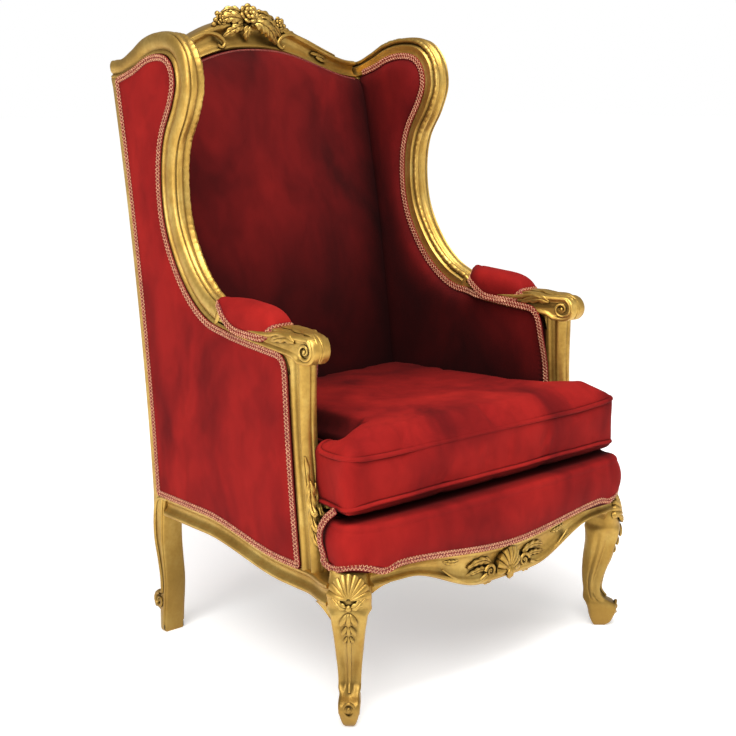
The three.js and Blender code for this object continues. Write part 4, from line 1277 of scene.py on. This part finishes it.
def seat_cushion():
    """The loose cushion: boxed, blown up tight by its filling, with piped seams."""
    low, high = node_box("seat_cushion")
    half = high[0] + 18
    ear_y = post_back_y(400) - POST_DEPTH - 3
    plan = seat_plan(lambda y: inner_half(y) - 10, half, ear_y, high[1] - 6,
                     lambda x: low[1] - 3 + 11 * (x / 300) ** 2, 9)
    plan = softened(plan, 1, closed=True)
    base = low[2] + 1

    def level(away, height):
        flat = inset(plan, away)
        return np.column_stack([flat, base + seat_tilt(flat[:, 1]) + height + 0 * flat[:, 0]])

    work = Work()
    work.skin([level(6, 0), level(1, 3), level(0, 8), level(0, CUSHION_THICK - 6),
               level(2, CUSHION_THICK), level(30, CUSHION_THICK + 5)])
    cushion = work.made("seat_cushion_velvet", [VELVET], "velvet", ["seat_cushion"], 180)
    pick(cushion)
    remesh = cushion.modifiers.new("cover", "REMESH")
    remesh.mode = "VOXEL"
    remesh.voxel_size = 0.0069
    remesh.use_smooth_shade = True
    bpy.ops.object.modifier_apply(modifier="cover")
    start = np.array([v.co for v in cushion.data.vertices])
    cloth = cushion.modifiers.new("filling", "CLOTH")
    cloth.settings.quality = 5
    cloth.settings.mass = 0.3
    cloth.settings.tension_stiffness = 12
    cloth.settings.compression_stiffness = 12
    cloth.settings.use_pressure = True
    cloth.settings.uniform_pressure_force = 4
    cloth.settings.effector_weights.gravity = 0
    cloth.point_cache.frame_start, cloth.point_cache.frame_end = 1, CUSHION_FRAMES
    for step in range(1, CUSHION_FRAMES + 1):
        scene.frame_set(step)
    bpy.ops.object.modifier_apply(modifier="filling")
    scene.frame_set(1)
    blown = np.array([v.co for v in cushion.data.vertices])
    # the filling may push the cover only so far, and the underside lies on the seat
    moved = blown - start
    reach = np.linalg.norm(moved, axis=1, keepdims=True)
    cap = CUSHION_CAP * MM
    blown = start + moved * np.minimum(1, cap / np.maximum(reach, 1e-9))
    rest = (low[2] + seat_tilt(blown[:, 1] / MM)) * MM
    blown[:, 2] = np.maximum(blown[:, 2], rest)
    cushion.data.vertices.foreach_set("co", blown.ravel())
    subdivision = cushion.modifiers.new("round", "SUBSURF")
    subdivision.levels = subdivision.render_levels = 1
    bpy.ops.object.modifier_apply(modifier="round")
    bpy.ops.object.shade_smooth()
    # piping: self-covered cord that lies in both seams
    surface = bmesh.new()
    surface.from_mesh(cushion.data)
    tree = BVHTree.FromBMesh(surface)
    surface.free()
    piping = Work()
    for height in (8, CUSHION_THICK - 3):
        guide = even(level(1, height), 6, closed=True)
        seam = []
        for point in guide:
            spot, normal, _, _ = tree.find_nearest(Vector((point + (0, SHIFT_Y, 0)) * MM))
            spot = np.array(spot + normal * 0.0012) / MM - (0, SHIFT_Y, 0)
            # a seam's point can't lie far from where it was cut
            if np.linalg.norm(spot - point) < SEAM_REACH:
                seam.append(spot)
        seam = softened(even(np.array(seam), 5, closed=True), 9, closed=True)
        piping.tube(seam, PIPING_RADIUS, 10, loop=True)
    piping.made("cushion_piping", [VELVET], "velvet", angle=180)


# ---------------------------------------------------------------- arm pads

def arm_pad(word, side):
    """A small stuffed pad on the arm, whose cover laps over the arm's sides."""
    low, high = node_box(f"arm_pad_{word}")
    share = np.linspace(0.0, 1, 60)
    y = high[1] + 1 + (low[1] - high[1] + 13) * share
    seat = np.vstack([[wing_edge[-1]], arm_top])
    swell = np.sqrt(np.clip(1 - np.abs(2 * share - 1) ** 3.2, 0.012, 1))
    # the cover laps down over the wood, most of all towards the front
    lap = 17 * smooth(share / 0.42) * smooth((1 - share) / 0.16)
    half = (ARM_THICK / 2 + 1.5) * (0.6 + 0.4 * swell) * (1 - 0.08 * share)
    turn = np.linspace(0, math.pi, 26)
    middle = ARM_THICK / 2 - ARM_OUTSET

    def slanted(at, share, depth):
        """The pad's back end is cut at a slant: it runs further back on the outer side."""
        return at - 17 * (1 - share) ** 2 * (np.asarray(depth) - middle) / 30

    def wood_z(at):
        return np.interp(-at, -seat[:, 0], seat[:, 1])

    rings = []
    for part, at, full, wide, drop in zip(share, y, swell, half, lap):
        across = np.sign(np.cos(turn)) * np.abs(np.cos(turn)) ** 0.7 * wide
        height = np.sin(turn) ** 0.85 * 37 * full
        depth = np.concatenate([middle + across, [middle - wide, middle - wide * 0.9,
                                                  middle + wide * 0.9, middle + wide]])
        place = slanted(at, part, depth)
        z = wood_z(place) + np.concatenate([height, [-drop, -drop - 2, -drop - 2, -drop]])
        rings.append(on_side(side, place, z, depth))
    work = Work()
    work.skin(rings)
    pad = work.made(f"arm_pad_velvet_{word}", [VELVET], "velvet", [f"arm_pad_{word}"], 70)
    flanks = []
    for way in (1, -1):
        depth = middle - way * (half + 1.4)
        place = slanted(y, share, depth)
        flanks.append(on_side(side, place, wood_z(place) + 5 - lap, depth)[:: way])
    line = softened(even(np.vstack(flanks), 3, closed=True), 6, closed=True)
    heart = line.mean(axis=0)
    out = unit((line - heart) * (2.4, 0.3, 0)) + (0, 0, 0.2)
    gimp(f"gimp_arm_{word}", line, unit(out), closed=True)


# ---------------------------------------------------------------- assembly

studio()
for word, side in SIDES:
    wing_frame(word, side)
    back_post(word, side)
    arm_rail(word, side)
    arm_post(word, side)
    side_rail(word, side)
    front_leg(word, side)
    side_cloth(word, side)
    side_padding(word, side)
    arm_pad(word, side)
front_rail()
back_rail()
crest_rail()
inside_back()
outside_back()
seat_deck()
seat_cushion()
